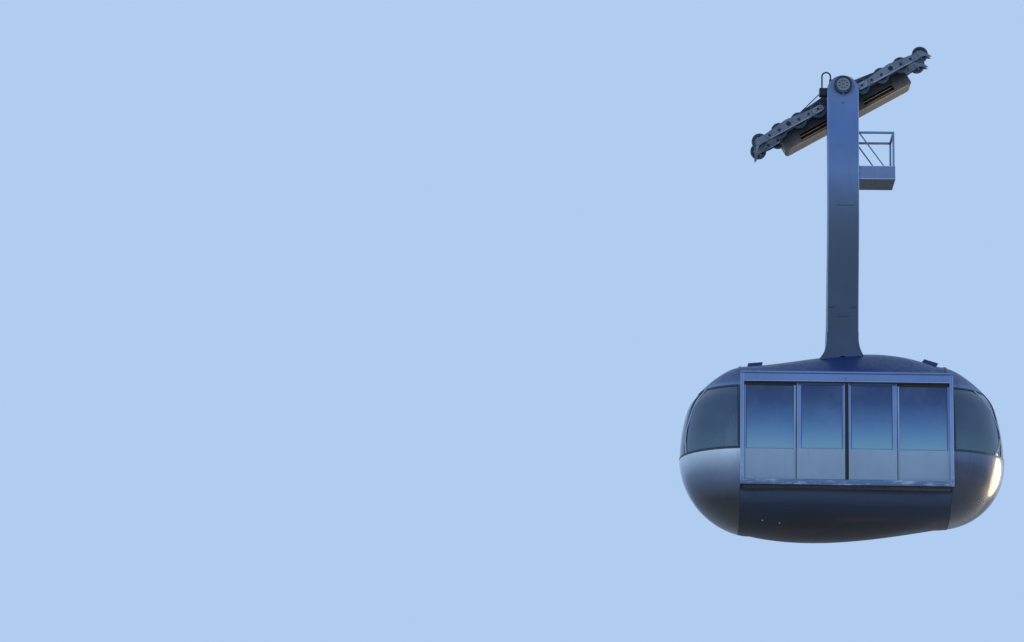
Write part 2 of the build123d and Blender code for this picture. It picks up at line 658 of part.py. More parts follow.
# Each end: roof cap, glazing frame, three panes and the bowl below them
for end, side_name, station in ((-1, "left", HULL_STATIONS[0]), (1, "right", HULL_STATIONS[-1])):
    low_x = min(end * PORTAL_HALF_LENGTH, end * REACH)
    high_x = max(end * PORTAL_HALF_LENGTH, end * REACH)

    with BuildPart() as roof_end:
        add(HULL_SKIN)
        add(HULL_INSIDE, mode=Mode.SUBTRACT)
        block(low_x, high_x, -REACH, REACH, GLAZING_TOP_Z, 0, Mode.INTERSECT)
    finish(roof_end.part, f"roof_{side_name}")

    with BuildPart() as bowl:
        add(HULL_SKIN)
        add(HULL_INSIDE, mode=Mode.SUBTRACT)
        block(low_x, high_x, -REACH, REACH, -3 * REACH, GLAZING_BOTTOM_Z, Mode.INTERSECT)
    finish(bowl.part, f"belly_{side_name}")

    with BuildPart() as end_frame:
        add(HULL_SKIN)
        add(HULL_INSIDE, mode=Mode.SUBTRACT)
        block(low_x, high_x, -REACH, REACH, GLAZING_BOTTOM_Z, GLAZING_TOP_Z, Mode.INTERSECT)
        with BuildSketch(Plane.XY.offset(GLAZING_BOTTOM_Z + GLAZING_RAIL)):
            for outline in pane_regions(end, GLAZING_RAIL):
                Polygon(*outline, align=None)
        extrude(amount=GLAZING_TOP_Z - GLAZING_BOTTOM_Z - 2 * GLAZING_RAIL, mode=Mode.SUBTRACT)
    finish(end_frame.part, f"end_frame_{side_name}")

    with BuildPart() as end_glass:
        with BuildSketch(Plane.XY.offset(GLAZING_BOTTOM_Z + GLAZING_RAIL)):
            for outline in pane_regions(end, GLAZING_RAIL):
                Polygon(*outline, align=None)
        extrude(amount=GLAZING_TOP_Z - GLAZING_BOTTOM_Z - 2 * GLAZING_RAIL)
        add(hull_end(station, END_GLASS_INSET), mode=Mode.INTERSECT)
        add(hull_end(station, END_GLASS_INSET + GLASS_THICKNESS), mode=Mode.SUBTRACT)
    finish(end_glass.part, f"end_glass_{side_name}")

# Sides: a portal ring, fixed panels and their glass, then the two sliding leaves
OPENING_HALF_LENGTH = PORTAL_HALF_LENGTH - PORTAL_POST
PANEL_FRONT_Y = PORTAL_Y - PORTAL_RECESS - LEAF_THICKNESS - LEAF_CLEARANCE
LEAF_FRONT_Y = PORTAL_Y - PORTAL_RECESS
WINDOW_TOP_Z = HEADER_BOTTOM_Z - WINDOW_BORDER - TRACK_HEIGHT
for side, side_name in ((-1, "near"), (1, "far")):

    def across(inner, outer):
        """Low and high Y of what lies between these two distances from the middle."""
        return (side * outer, side * inner) if side < 0 else (side * inner, side * outer)

    with BuildPart() as portal:
        block(-PORTAL_HALF_LENGTH, PORTAL_HALF_LENGTH, *across(0, PORTAL_Y), SILL_BOTTOM_Z, GUTTER_Z)
        block(
            -PORTAL_HALF_LENGTH,
            PORTAL_HALF_LENGTH,
            *across(PORTAL_Y - GUTTER_LIP, PORTAL_Y + GUTTER_LIP),
            GUTTER_Z - GUTTER_DEPTH,
            GUTTER_Z,
        )
        add(HULL_INSIDE, mode=Mode.SUBTRACT)
        block(
            -OPENING_HALF_LENGTH, OPENING_HALF_LENGTH, *across(0, REACH), FLOOR_Z, HEADER_BOTTOM_Z, Mode.SUBTRACT
        )
        block(
            -OPENING_HALF_LENGTH,
            OPENING_HALF_LENGTH,
            *across(0, PANEL_FRONT_Y - FIXED_PANEL_THICKNESS),
            FLOOR_Z - FLOOR_THICKNESS,
            HEADER_BOTTOM_Z + FLOOR_THICKNESS,
            Mode.SUBTRACT,
        )
    finish(portal.part, f"portal_{side_name}")

    with BuildPart() as panels:
        for end in (-1, 1):
            inner_x = end * FIXED_PANEL_INNER_X
            outer_x = end * OPENING_HALF_LENGTH
            block(
                min(inner_x, outer_x),
                max(inner_x, outer_x),
                *across(PANEL_FRONT_Y - FIXED_PANEL_THICKNESS, PANEL_FRONT_Y),
                FLOOR_Z,
                HEADER_BOTTOM_Z,
            )
            inner_x = end * (FIXED_PANEL_INNER_X + WINDOW_BORDER)
            outer_x = end * (OPENING_HALF_LENGTH - WINDOW_BORDER)
            block(
                min(inner_x, outer_x),
                max(inner_x, outer_x),
                *across(PANEL_FRONT_Y - FIXED_PANEL_THICKNESS, PANEL_FRONT_Y),
                GLAZING_BOTTOM_Z,
                WINDOW_TOP_Z,
                Mode.SUBTRACT,
            )
    finish(panels.part, f"side_panels_{side_name}")

    glass_inner_y = PANEL_FRONT_Y - (FIXED_PANEL_THICKNESS + GLASS_THICKNESS) / 2
    with BuildPart() as side_glass:
        for end in (-1, 1):
            inner_x = end * (FIXED_PANEL_INNER_X + WINDOW_BORDER)
            outer_x = end * (OPENING_HALF_LENGTH - WINDOW_BORDER)
            block(
                min(inner_x, outer_x),
                max(inner_x, outer_x),
                *across(glass_inner_y, glass_inner_y + GLASS_THICKNESS),
                GLAZING_BOTTOM_Z,
                WINDOW_TOP_Z,
            )
    finish(side_glass.part, f"side_glass_{side_name}")

    track_inner_y = LEAF_FRONT_Y - (LEAF_THICKNESS + TRACK_THICKNESS) / 2
    with BuildPart() as track:
        block(
            -OPENING_HALF_LENGTH,
            OPENING_HALF_LENGTH,
            *across(track_inner_y, track_inner_y + TRACK_THICKNESS),
            HEADER_BOTTOM_Z - TRACK_HEIGHT,
            HEADER_BOTTOM_Z,
        )
    finish(track.part, f"door_track_{side_name}")

    for end, leaf_name in ((-1, "left"), (1, "right")):
        inner_x = end * LEAF_INNER_X
        outer_x = end * LEAF_OUTER_X
        with BuildPart() as leaf:
            block(
                min(inner_x, outer_x),
                max(inner_x, outer_x),
                *across(LEAF_FRONT_Y - LEAF_THICKNESS, LEAF_FRONT_Y),
                FLOOR_Z + LEAF_CLEARANCE,
                HEADER_BOTTOM_Z - TRACK_HEIGHT - FIT_GAP,
            )
            inner_x = end * (LEAF_INNER_X + LEAF_MEETING_STILE)
            outer_x = end * (LEAF_OUTER_X - LEAF_TRAILING_STILE)
            block(
                min(inner_x, outer_x),
                max(inner_x, outer_x),
                *across(LEAF_FRONT_Y - LEAF_THICKNESS, LEAF_FRONT_Y),
                GLAZING_BOTTOM_Z,
                WINDOW_TOP_Z,
                Mode.SUBTRACT,
            )
        finish(leaf.part, f"door_{side_name}_{leaf_name}")

        leaf_glass_y = LEAF_FRONT_Y - (LEAF_THICKNESS + GLASS_THICKNESS) / 2
        with BuildPart() as leaf_glass:
            block(
                min(inner_x, outer_x),
                max(inner_x, outer_x),
                *across(leaf_glass_y, leaf_glass_y + GLASS_THICKNESS),
                GLAZING_BOTTOM_Z,
                WINDOW_TOP_Z,
            )
        finish(leaf_glass.part, f"door_glass_{side_name}_{leaf_name}")

# Grab poles from the floor to the ceiling, tied by a rail along each row
with BuildPart() as poles:
    with BuildSketch(Plane.XY.offset(FLOOR_Z)):
        with Locations([(x, y) for x in (-POLE_X, 0, POLE_X) for y in (-POLE_Y, POLE_Y)]):
            Circle(POLE_RADIUS)
    extrude(amount=HULL_TOP_Z - FLOOR_Z)
    with BuildSketch(Plane.YZ.offset(-POLE_X)):
        with Locations([(y, FLOOR_Z + RAIL_ABOVE_FLOOR) for y in (-POLE_Y, POLE_Y)]):
            Circle(POLE_RADIUS)
    extrude(amount=2 * POLE_X)
    add(HULL_INSIDE, mode=Mode.INTERSECT)
finish(poles.part, "grab_poles")
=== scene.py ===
"""Looks of the aerial tramway cabin: finishes, bolts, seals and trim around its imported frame. Metres."""
import json
from math import cos, pi, radians, sin

import bmesh
import bpy
from mathutils import Matrix, Vector
from mathutils.bvhtree import BVHTree


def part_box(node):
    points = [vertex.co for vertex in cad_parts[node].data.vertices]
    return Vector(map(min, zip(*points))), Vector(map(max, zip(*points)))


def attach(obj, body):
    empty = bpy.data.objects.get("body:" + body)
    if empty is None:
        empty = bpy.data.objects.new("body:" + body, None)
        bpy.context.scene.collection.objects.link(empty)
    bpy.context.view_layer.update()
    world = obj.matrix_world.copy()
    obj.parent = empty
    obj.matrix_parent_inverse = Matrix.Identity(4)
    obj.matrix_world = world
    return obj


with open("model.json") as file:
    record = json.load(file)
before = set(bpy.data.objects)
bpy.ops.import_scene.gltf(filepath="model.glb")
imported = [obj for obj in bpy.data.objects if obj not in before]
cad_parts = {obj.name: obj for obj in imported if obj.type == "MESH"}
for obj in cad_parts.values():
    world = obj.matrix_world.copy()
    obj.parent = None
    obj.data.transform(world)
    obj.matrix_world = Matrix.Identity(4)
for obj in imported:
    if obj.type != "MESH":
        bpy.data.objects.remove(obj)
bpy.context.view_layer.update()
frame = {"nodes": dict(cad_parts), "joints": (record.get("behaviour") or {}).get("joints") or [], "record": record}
nodes = frame["nodes"]

# Camera just above the floor, looking up at the cabin
CAMERA_PLACE = Vector((-4.648, -68.502, -21.67))
CAMERA_PITCH = radians(13.462)
CAMERA_YAW = radians(-2.561)
CAMERA_ROLL = radians(1.265)
CAMERA_REACH = 500.0
FOCAL_PIXELS = 3000.0
IMAGE_WIDTH = 1024.0
SENSOR_WIDTH = 36.0
FLOOR_BELOW_CAMERA = 0.08

# Directions: u up along the rope, v square to it, Y towards the far side
ROPE_SLOPE = radians(30.0)
ALONG_ROPE = Vector((cos(ROPE_SLOPE), 0.0, sin(ROPE_SLOPE)))
OFF_ROPE = Vector((-sin(ROPE_SLOPE), 0.0, cos(ROPE_SLOPE)))
UP = Vector((0.0, 0.0, 1.0))
NEAR = Vector((0.0, -1.0, 0.0))
FAR = Vector((0.0, 1.0, 0.0))
MIDDLE_U = 0.05
ROPE_AXES = (
    Matrix.Translation(ALONG_ROPE * MIDDLE_U)
    @ Matrix((ALONG_ROPE, FAR, OFF_ROPE)).transposed().to_4x4()
)
SIDES = {"near": -1.0, "far": 1.0}
ENDS = {"left": -1.0, "right": 1.0}

# Door leaf and its pane at the near left, from which heights are taken
LEAF_LOW, LEAF_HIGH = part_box("door_near_left")
PANE_LOW, PANE_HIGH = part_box("door_glass_near_left")
SILL_TOP = LEAF_LOW.z
GLASS_LOW, GLASS_HIGH = PANE_LOW.z, PANE_HIGH.z


def add_camera():
    """Camera in its place, with its turn, tilt and roll."""
    forward = Vector((
        sin(CAMERA_YAW) * cos(CAMERA_PITCH),
        cos(CAMERA_YAW) * cos(CAMERA_PITCH),
        sin(CAMERA_PITCH),
    ))
    level = Vector((cos(CAMERA_YAW), -sin(CAMERA_YAW), 0.0))
    above = level.cross(forward)
    right = cos(CAMERA_ROLL) * level + sin(CAMERA_ROLL) * above
    up = -sin(CAMERA_ROLL) * level + cos(CAMERA_ROLL) * above
    camera = bpy.data.objects.new("camera", bpy.data.cameras.new("camera"))
    camera.data.sensor_width = SENSOR_WIDTH
    camera.data.lens = FOCAL_PIXELS / IMAGE_WIDTH * SENSOR_WIDTH
    camera.data.clip_end = CAMERA_REACH
    axes = Matrix((right, up, -forward)).transposed().to_4x4()
    camera.matrix_world = Matrix.Translation(CAMERA_PLACE) @ axes
    bpy.context.scene.collection.objects.link(camera)
    bpy.context.scene.camera = camera


def srgb(red, green, blue):
    """Linear colour of a screen colour given in steps of 255."""
    shares = [step / 255.0 for step in (red, green, blue)]
    return tuple(((s + 0.055) / 1.055) ** 2.4 if s > 0.04 else s / 12.92 for s in shares)


class Shader:
    """A node material under construction, with the few node forms that the finishes share."""

    def __init__(self, name):
        self.name = name
        self.material = bpy.data.materials.new(name)
        self.material.use_nodes = True
        self.tree = self.material.node_tree
        self.surface = self.tree.nodes["Principled BSDF"]
        self.place = self.tree.nodes.new("ShaderNodeTexCoord").outputs["Object"]

    def set(self, **values):
        """Values that are the same all over the surface."""
        for name, value in values.items():
            self.surface.inputs[name.replace("_", " ")].default_value = value
        return self

    def link(self, source, target):
        self.tree.links.new(source, target)

    def noise(self, scale, detail, stretch=(1.0, 1.0, 1.0), rough=0.55):
        """Noise that keeps its place on the part, finer along an axis where it is stretched more."""
        mapping = self.tree.nodes.new("ShaderNodeMapping")
        mapping.inputs["Scale"].default_value = stretch
        self.link(self.place, mapping.inputs["Vector"])
        texture = self.tree.nodes.new("ShaderNodeTexNoise")
        texture.inputs["Scale"].default_value = scale
        texture.inputs["Detail"].default_value = detail
        texture.inputs["Roughness"].default_value = rough
        self.link(mapping.outputs["Vector"], texture.inputs["Vector"])
        return texture.outputs["Fac"]

    def spread(self, value, low, high, to_low=0.0, to_high=1.0):
        """The value, with the range from low to high drawn out between two other values."""
        node = self.tree.nodes.new("ShaderNodeMapRange")
        node.inputs["From Min"].default_value = low
        node.inputs["From Max"].default_value = high
        node.inputs["To Min"].default_value = to_low
        node.inputs["To Max"].default_value = to_high
        self.link(value, node.inputs["Value"])
        return node.outputs["Result"]

    def times(self, one, other):
        node = self.tree.nodes.new("ShaderNodeMath")
        node.operation = "MULTIPLY"
        self.put(one, node.inputs[0])
        self.put(other, node.inputs[1])
        return node.outputs[0]

    def blend(self, share, first, second, kind="MIX"):
        node = self.tree.nodes.new("ShaderNodeMix")
        node.data_type = "RGBA"
        node.blend_type = kind
        self.put(share, node.inputs["Factor"])
        self.put(first, node.inputs["A"])
        self.put(second, node.inputs["B"])
        return node.outputs["Result"]

    def put(self, value, socket):
        """A colour, a number or another node's output into a socket."""
        if isinstance(value, tuple):
            socket.default_value = (*value, 1.0)
        elif isinstance(value, float):
            socket.default_value = value
        else:
            self.link(value, socket)

    def ramp(self, value, stops):
        node = self.tree.nodes.new("ShaderNodeValToRGB")
        bands = node.color_ramp.elements
        while len(bands) < len(stops):
            bands.new(0.5)
        for band, (place, colour) in zip(bands, stops):
            band.position = place
            band.color = (*colour, 1.0)
        self.link(value, node.inputs["Fac"])
        return node.outputs["Color"]

    def height_of(self, vector):
        node = self.tree.nodes.new("ShaderNodeSeparateXYZ")
        self.link(vector, node.inputs["Vector"])
        return node.outputs["Z"]

    def by_place(self, stops, direction=UP):
        """Colour by distance along a direction, from rows of distance and colour, lowest first."""
        low, high = stops[0][0], stops[-1][0]
        node = self.tree.nodes.new("ShaderNodeVectorMath")
        node.operation = "DOT_PRODUCT"
        self.link(self.place, node.inputs[0])
        node.inputs[1].default_value = direction
        share = self.spread(node.outputs["Value"], low, high)
        return self.ramp(share, [((place - low) / (high - low), colour) for place, colour in stops])

    def facing_down(self, low, high):
        """Share by which the surface faces down, from 0 to 1 between two values of its normal's Z."""
        normal = self.tree.nodes.new("ShaderNodeNewGeometry").outputs["Normal"]
        return self.spread(self.height_of(normal), low, high)

    def bump(self, height, strength, distance):
        node = self.tree.nodes.new("ShaderNodeBump")
        node.inputs["Strength"].default_value = strength
        node.inputs["Distance"].default_value = distance
        self.link(height, node.inputs["Height"])
        self.link(node.outputs["Normal"], self.surface.inputs["Normal"])

    def colour(self, source):
        self.put(source, self.surface.inputs["Base Color"])

    def rough(self, source):
        self.link(source, self.surface.inputs["Roughness"])


# Noise in the finishes: scale and detail, then its stretch along X, Y and Z, then its roughness
PAINT_CLOUD = (0.9, 5.0)
PAINT_STREAK = (5.0, 6.0, (3.0, 3.0, 0.18))
PAINT_SPECK = (38.0, 3.0)
SILVER_CLOUD = (0.7, 4.0)
SILVER_STREAK = (4.0, 6.0, (2.5, 2.5, 0.2))
SILVER_WEAR = (1.7, 9.0, (1.0, 1.0, 7.0), 0.8)
SHEET_RIPPLE = (1.4, 2.0)
KEEL_CLOUD = (0.8, 5.0)
KEEL_SMEAR_AND_REFLECTION = (1.6, 7.0, (0.35, 1.0, 3.0), 0.65)
GLASS_DUST = (2.2, 6.0, (1.0, 1.0, 0.8))
FLOOR_MOTTLE = (0.2, 2.0)

# Noise values between which an effect sets in
PAINT_CLOUD_RANGE = (0.68, 0.35)
PAINT_STREAK_RANGE = (0.56, 0.80)
SHEET_CLOUD_RANGE = (0.35, 0.70)
SILVER_STREAK_RANGE = (0.55, 0.80)
WEAR_RANGE = (0.52, 0.62)
BROWN_REFLECTION_RANGE = (0.50, 0.70)
DUST_RANGE = (0.45, 0.80)
MOTTLE_RANGE = (0.40, 0.60)
DULL_RANGE = (0.30, 0.75)
GLASS_DULL_RANGE = (0.30, 0.80)

# Full strength of an effect
SILVER_CLOUDS = 0.55
SILVER_STREAKS = 0.22
SCUFFS = 0.55
KEEL_CLOUDS = 0.60
KEEL_BROWN_REFLECTION = 0.55

# Roughness at the clean and at the dull end, as shares of the paint's own for the first two
PAINT_DULLING = (0.82, 1.25)
SILVER_DULLING = (0.80, 1.35)
KEEL_DULLING = (0.38, 0.62)
GLASS_DULLING = (0.02, 0.12)

# Strength and depth of the unevenness
ORANGE_PEEL = (0.05, 0.002)
SHEET_WAVES = (0.06, 0.010)

# Values of the normal's Z between which the painted light and shade of an underside sets in
PAINT_UNDERSIDE = (-0.35, -0.75)
SILVER_UNDERSIDE = (-0.55, -0.85)

# Heights between which scuffs and the brown painted reflection of the ground grow downward
SCUFF_HEIGHTS = (SILL_TOP + 0.75, SILL_TOP + 0.02)
BROWN_HEIGHTS = (-9.85, -10.15)

# Tones of clouds, streaks and dirt, and the brown of a painted reflection of the ground
STREAK_GREY = (0.45, 0.45, 0.45)
RAIN_GREY = (0.35, 0.36, 0.40)
SILVER_SHADE = (0.70, 0.73, 0.78)
KEEL_SHADE = (0.62, 0.66, 0.72)
SCUFF_WHITE = srgb(176, 194, 220)
GROUND_REFLECTION_BROWN = srgb(70, 52, 44)
DUST_BLUE = srgb(110, 135, 160)


def painted(name, tone, metallic, roughness, grime, coat=0.0, under=None, along=UP):
    """Paint over sheet: slight cloudiness, rain streaks, dust in the roughness and a faint orange peel.

    The tone is one colour, or rows of distance and colour along a direction, which paint light and shade across
    the part; the under tone is painted light and shade on faces turned down.
    """
    shader = Shader(name).set(Metallic=metallic, Coat_Weight=coat, Coat_Roughness=0.08)
    base = shader.by_place(tone, along) if isinstance(tone[0], tuple) else tone
    cloud = shader.spread(shader.noise(*PAINT_CLOUD), *PAINT_CLOUD_RANGE)
    streak = shader.noise(*PAINT_STREAK)
    cloudy = shader.blend(cloud, base, (1.0 - grime,) * 3, "MULTIPLY")
    soiled = shader.spread(streak, *PAINT_STREAK_RANGE, to_high=grime)
    stained = shader.blend(soiled, cloudy, STREAK_GREY, "MULTIPLY")
    # Painted light and shade on faces turned down
    if under:
        stained = shader.blend(shader.facing_down(*PAINT_UNDERSIDE), stained, under)
    shader.colour(stained)
    clean, dull = (roughness * share for share in PAINT_DULLING)
    shader.rough(shader.spread(streak, *DULL_RANGE, clean, min(1.0, dull)))
    shader.bump(shader.noise(*PAINT_SPECK), *ORANGE_PEEL)
    return shader


def sky_silver(name, stops, roughness=0.30, metallic=0.35, coat=0.5, under=None, scuffs=False):
    """Silver paint: its tone by height, which paints reflection and shade, faint clouds, rain streaks and soft
    ripples in the sheet.
    """
    shader = Shader(name).set(Metallic=metallic, Coat_Weight=coat, Coat_Roughness=0.06)
    base = shader.by_place(stops)
    cloud = shader.spread(shader.noise(*SILVER_CLOUD), *SHEET_CLOUD_RANGE, to_high=SILVER_CLOUDS)
    cloudy = shader.blend(cloud, base, SILVER_SHADE, "MULTIPLY")
    streak = shader.noise(*SILVER_STREAK)
    soiled = shader.spread(streak, *SILVER_STREAK_RANGE, to_high=SILVER_STREAKS)
    stained = shader.blend(soiled, cloudy, RAIN_GREY, "MULTIPLY")
    if scuffs:
        worn = shader.spread(shader.noise(*SILVER_WEAR), *WEAR_RANGE)
        low = shader.spread(shader.height_of(shader.place), *SCUFF_HEIGHTS)
        patches = shader.times(shader.times(worn, low), SCUFFS)
        stained = shader.blend(patches, stained, SCUFF_WHITE)
    # Painted shade on faces turned down
    if under:
        stained = shader.blend(shader.facing_down(*SILVER_UNDERSIDE), stained, under)
    shader.colour(stained)
    clean, dull = (roughness * share for share in SILVER_DULLING)
    shader.rough(shader.spread(streak, *DULL_RANGE, clean, dull))
    shader.bump(shader.noise(*SHEET_RIPPLE), *SHEET_WAVES)
    return shader


def keel_paint(name, stops):
    """Dark blue-grey under the floor, its darkness painted shade and reflection, with brown streaked along the
    cabin near the keel as a painted reflection of the ground.
    """
    shader = Shader(name)
    shader.set(Metallic=0.0, Coat_Weight=0.05, Coat_Roughness=0.15, Specular_IOR_Level=0.25)
    base = shader.by_place(stops)
    cloud = shader.spread(shader.noise(*KEEL_CLOUD), *SHEET_CLOUD_RANGE, to_high=KEEL_CLOUDS)
    cloudy = shader.blend(cloud, base, KEEL_SHADE, "MULTIPLY")
    smear_and_reflection = shader.noise(*KEEL_SMEAR_AND_REFLECTION)
    # Brown towards the keel: a painted reflection of the ground
    low = shader.spread(shader.height_of(shader.place), *BROWN_HEIGHTS)
    brown = shader.times(shader.spread(smear_and_reflection, *BROWN_REFLECTION_RANGE, to_high=KEEL_BROWN_REFLECTION), low)
    shader.colour(shader.blend(brown, cloudy, GROUND_REFLECTION_BROWN))
    shader.rough(shader.spread(smear_and_reflection, *DULL_RANGE, *KEEL_DULLING))
    shader.bump(shader.noise(*SHEET_RIPPLE), *SHEET_WAVES)
    return shader


def tinted_glass(name, stops, clear, dusty):
    """Dark tint whose tone goes by height as a painted reflection, with a thin film of dust in rain-washed
    patches.
    """
    shader = Shader(name).set(Metallic=0.0, IOR=1.5, Transmission_Weight=clear, Coat_Weight=0.3)
    base = shader.by_place(stops)
    dust = shader.noise(*GLASS_DUST)
    film = shader.spread(dust, *DUST_RANGE, to_high=dusty)
    shader.colour(shader.blend(film, base, DUST_BLUE))
    shader.rough(shader.spread(dust, *GLASS_DULL_RANGE, *GLASS_DULLING))
    return shader


# Tones of the finishes: rows of height and colour, lowest first. Their change with height is painted light and
# shade: reflections of sky and ground, and shade.
# Silver of hull and roof: pale at the foot of the glass and bluer up the header as painted sky reflection, dark
# blue on the roof as painted shade, darkening down the belly as a painted reflection of the dark ground
SILVER_STOPS = (
    (-10.30, srgb(24, 29, 40)),
    (-9.60, srgb(40, 50, 66)),
    (-9.30, srgb(74, 88, 108)),
    (-8.55, srgb(130, 146, 170)),
    (-7.00, srgb(92, 116, 160)),
    (-6.82, srgb(40, 67, 116)),
    (-6.60, srgb(12, 39, 90)),
    (-5.95, srgb(9, 35, 86)),
)
# Left end bowl: a lit copy of the silver, pale at the top as painted sky reflection, near black at the foot as
# painted reflection of the dark ground
LEFT_BOWL_STOPS = (
    (-10.30, srgb(4, 6, 12)),
    (-9.95, srgb(4, 8, 16)),
    (-9.60, srgb(9, 16, 29)),
    (-9.30, srgb(62, 76, 97)),
    (-9.05, srgb(92, 110, 134)),
    (-8.55, srgb(172, 190, 206)),
)
# Right end bowl: a shaded copy of the same silver, darker all over as painted shade
RIGHT_BOWL_STOPS = (
    (-10.30, srgb(12, 17, 28)),
    (-9.95, srgb(16, 22, 34)),
    (-9.60, srgb(26, 33, 47)),
    (-9.20, srgb(40, 47, 62)),
    (-8.80, srgb(60, 72, 96)),
    (-8.55, srgb(74, 90, 120)),
)
# Portal silver: blue as painted sky reflection, darker at the sill's foot as painted shade
PORTAL_STOPS = (
    (-9.38, srgb(62, 84, 118)),
    (-9.24, srgb(78, 102, 140)),
    (-9.18, srgb(104, 128, 168)),
    (-8.60, srgb(108, 134, 178)),
    (-7.20, srgb(88, 116, 166)),
    (-6.98, srgb(86, 114, 162)),
    (-6.80, srgb(88, 116, 164)),
)
# Door leaves: tone by height as painted sky reflection, with the dark band at the top painted shadow of the header
DOOR_STOPS = (
    (-9.25, srgb(108, 130, 152)),
    (-8.56, srgb(120, 141, 165)),
    (-8.52, srgb(104, 132, 176)),
    (-7.08, srgb(84, 114, 164)),
    (-7.065, srgb(30, 50, 84)),
    (-7.00, srgb(20, 34, 60)),
)
# Keel: darkening downward as painted shade and reflection of the dark ground, with the dark band at the top
# painted shadow under the sill
KEEL_STOPS = (
    (-10.45, srgb(8, 10, 18)),
    (-10.10, srgb(4, 9, 20)),
    (-9.75, srgb(18, 31, 52)),
    (-9.50, srgb(46, 62, 84)),
    (-9.42, srgb(22, 29, 42)),
    (-9.36, srgb(10, 13, 20)),
)
# Arm: lighter and bluer above as painted sky reflection, darker below as painted shade
ARM_STOPS = (
    (-6.20, srgb(52, 68, 94)),
    (-5.20, srgb(56, 71, 92)),
    (-3.20, srgb(62, 78, 98)),
    (-2.45, srgb(70, 90, 118)),
    (-1.80, srgb(82, 108, 150)),
    (-0.60, srgb(74, 104, 156)),
    (0.50, srgb(88, 110, 150)),
)
# Door panes: dark at the top, paler and greener at the foot, a painted reflection
DOOR_GLASS_STOPS = (
    (GLASS_LOW, srgb(98, 140, 162)),
    (GLASS_LOW + 0.25, srgb(82, 126, 160)),
    (GLASS_LOW + 0.65, srgb(56, 94, 140)),
    (GLASS_LOW + 1.05, srgb(28, 60, 108)),
    (GLASS_HIGH, srgb(12, 38, 82)),
)
# End panes: paler at the foot, a painted reflection
END_GLASS_STOPS = (
    (GLASS_LOW, srgb(72, 104, 126)),
    (GLASS_LOW + 0.60, srgb(50, 82, 112)),
    (GLASS_HIGH, srgb(46, 72, 108)),
)

# Tone of the girder: rows of distance off the rope and colour, lowest first; painted light and shade, lit and warm
# at its foot and darkest above the slots as painted shadow
GIRDER_STOPS = (
    (-0.33, srgb(96, 92, 90)),
    (-0.22, srgb(70, 70, 72)),
    (-0.08, srgb(40, 42, 46)),
    (0.10, srgb(24, 26, 30)),
    (0.44, srgb(50, 54, 62)),
)
# Tones of faces turned down, painted light and shade: light from below on the girder, shade under the tray and
# under the sill
GIRDER_UNDER = srgb(74, 70, 70)
TRAY_UNDER = srgb(20, 15, 16)
SILL_UNDER = srgb(26, 32, 44)

PAINTS = (
    # name, tone, metallic, roughness, grime
    ("carriage_plate", srgb(96, 108, 126), 0.35, 0.40, 0.40),
    ("bright_steel", srgb(150, 155, 165), 0.85, 0.32, 0.30),
    ("dark_steel", srgb(34, 37, 44), 0.50, 0.45, 0.30),
    ("roller_steel", srgb(62, 72, 88), 0.50, 0.42, 0.45),
    ("pin_flange", srgb(104, 116, 130), 0.40, 0.38, 0.35),
    ("arm_paint", ARM_STOPS, 0.30, 0.38, 0.16),
    ("floor_covering", srgb(48, 48, 52), 0.00, 0.80, 0.30),
    ("black_rubber", srgb(24, 26, 30), 0.00, 0.60, 0.30),
    ("frame_dark", srgb(46, 54, 68), 0.20, 0.45, 0.30),
    ("stud_dark", srgb(16, 18, 24), 0.10, 0.60, 0.20),
    # Pale trim, partly a painted highlight along the lit edges it lines
    ("pale_trim_and_highlight", srgb(150, 172, 208), 0.45, 0.30, 0.25),
    ("tan_pipe_and_lit_edge", srgb(170, 142, 108), 0.50, 0.35, 0.40),
    ("rim_steel", srgb(88, 98, 114), 0.60, 0.36, 0.45),
    ("worn_plate", srgb(142, 156, 176), 0.50, 0.34, 0.45),
)
SHADERS = [painted(*row) for row in PAINTS] + [
    painted("carriage_box", GIRDER_STOPS, 0.20, 0.60, 0.50, under=GIRDER_UNDER, along=OFF_ROPE),
    painted("platform_metal", srgb(92, 115, 150), 0.35, 0.42, 0.22, under=TRAY_UNDER),
    painted("door_paint", DOOR_STOPS, 0.30, 0.36, 0.14, coat=0.3),
    sky_silver("hull_paint", SILVER_STOPS),
    sky_silver("portal_paint", PORTAL_STOPS, roughness=0.34, under=SILL_UNDER, scuffs=True),
    sky_silver("roof_paint", SILVER_STOPS, roughness=0.42, metallic=0.15, coat=0.15),
    sky_silver("left_bowl_painted_sheen", LEFT_BOWL_STOPS),
    sky_silver("right_bowl_painted_shade", RIGHT_BOWL_STOPS),
    keel_paint("keel_paint", KEEL_STOPS),
    tinted_glass("window_glass", DOOR_GLASS_STOPS, clear=0.15, dusty=0.16),
    tinted_glass("end_glass", END_GLASS_STOPS, clear=0.45, dusty=0.15),
]
FINISHES = {shader.name: shader.material for shader in SHADERS}
NODE_FINISHES = {
    "roof_centre": "roof_paint",
    "roof_left": "roof_paint",
    "roof_right": "roof_paint",
    "roof_vents": "roof_paint",
    "belly_centre": "keel_paint",
    "belly_left": "left_bowl_painted_sheen",
    "belly_right": "right_bowl_painted_shade",
    "end_glass_left": "end_glass",
    "end_glass_right": "end_glass",
    "end_frame_left": "frame_dark",
    "end_frame_right": "frame_dark",
    "axles": "dark_steel",
    "door_track_near": "black_rubber",
    "door_track_far": "black_rubber",
}


def finish_nodes():
    """Each CAD node's finish: its own one, or that of its slot in the record."""
    for row in frame["record"]["subparts"]:
        data = nodes[row["node"]].data
        data.materials.clear()
        data.materials.append(FINISHES[NODE_FINISHES.get(row["node"], row["material_slot"])])


# Bolt head and washer: rows of radius and height, in radii of the head
WASHER_ROWS = ((0.0, 0.0), (1.7, 0.0), (1.7, 0.22), (1.55, 0.32), (0.0, 0.32))
HEAD_ROWS = ((0.0, 0.30), (1.0, 0.30), (1.0, 0.85), (0.86, 1.0), (0.0, 1.0))
TUBE_SIDES = 8
SOFT_ANGLE = radians(35.0)


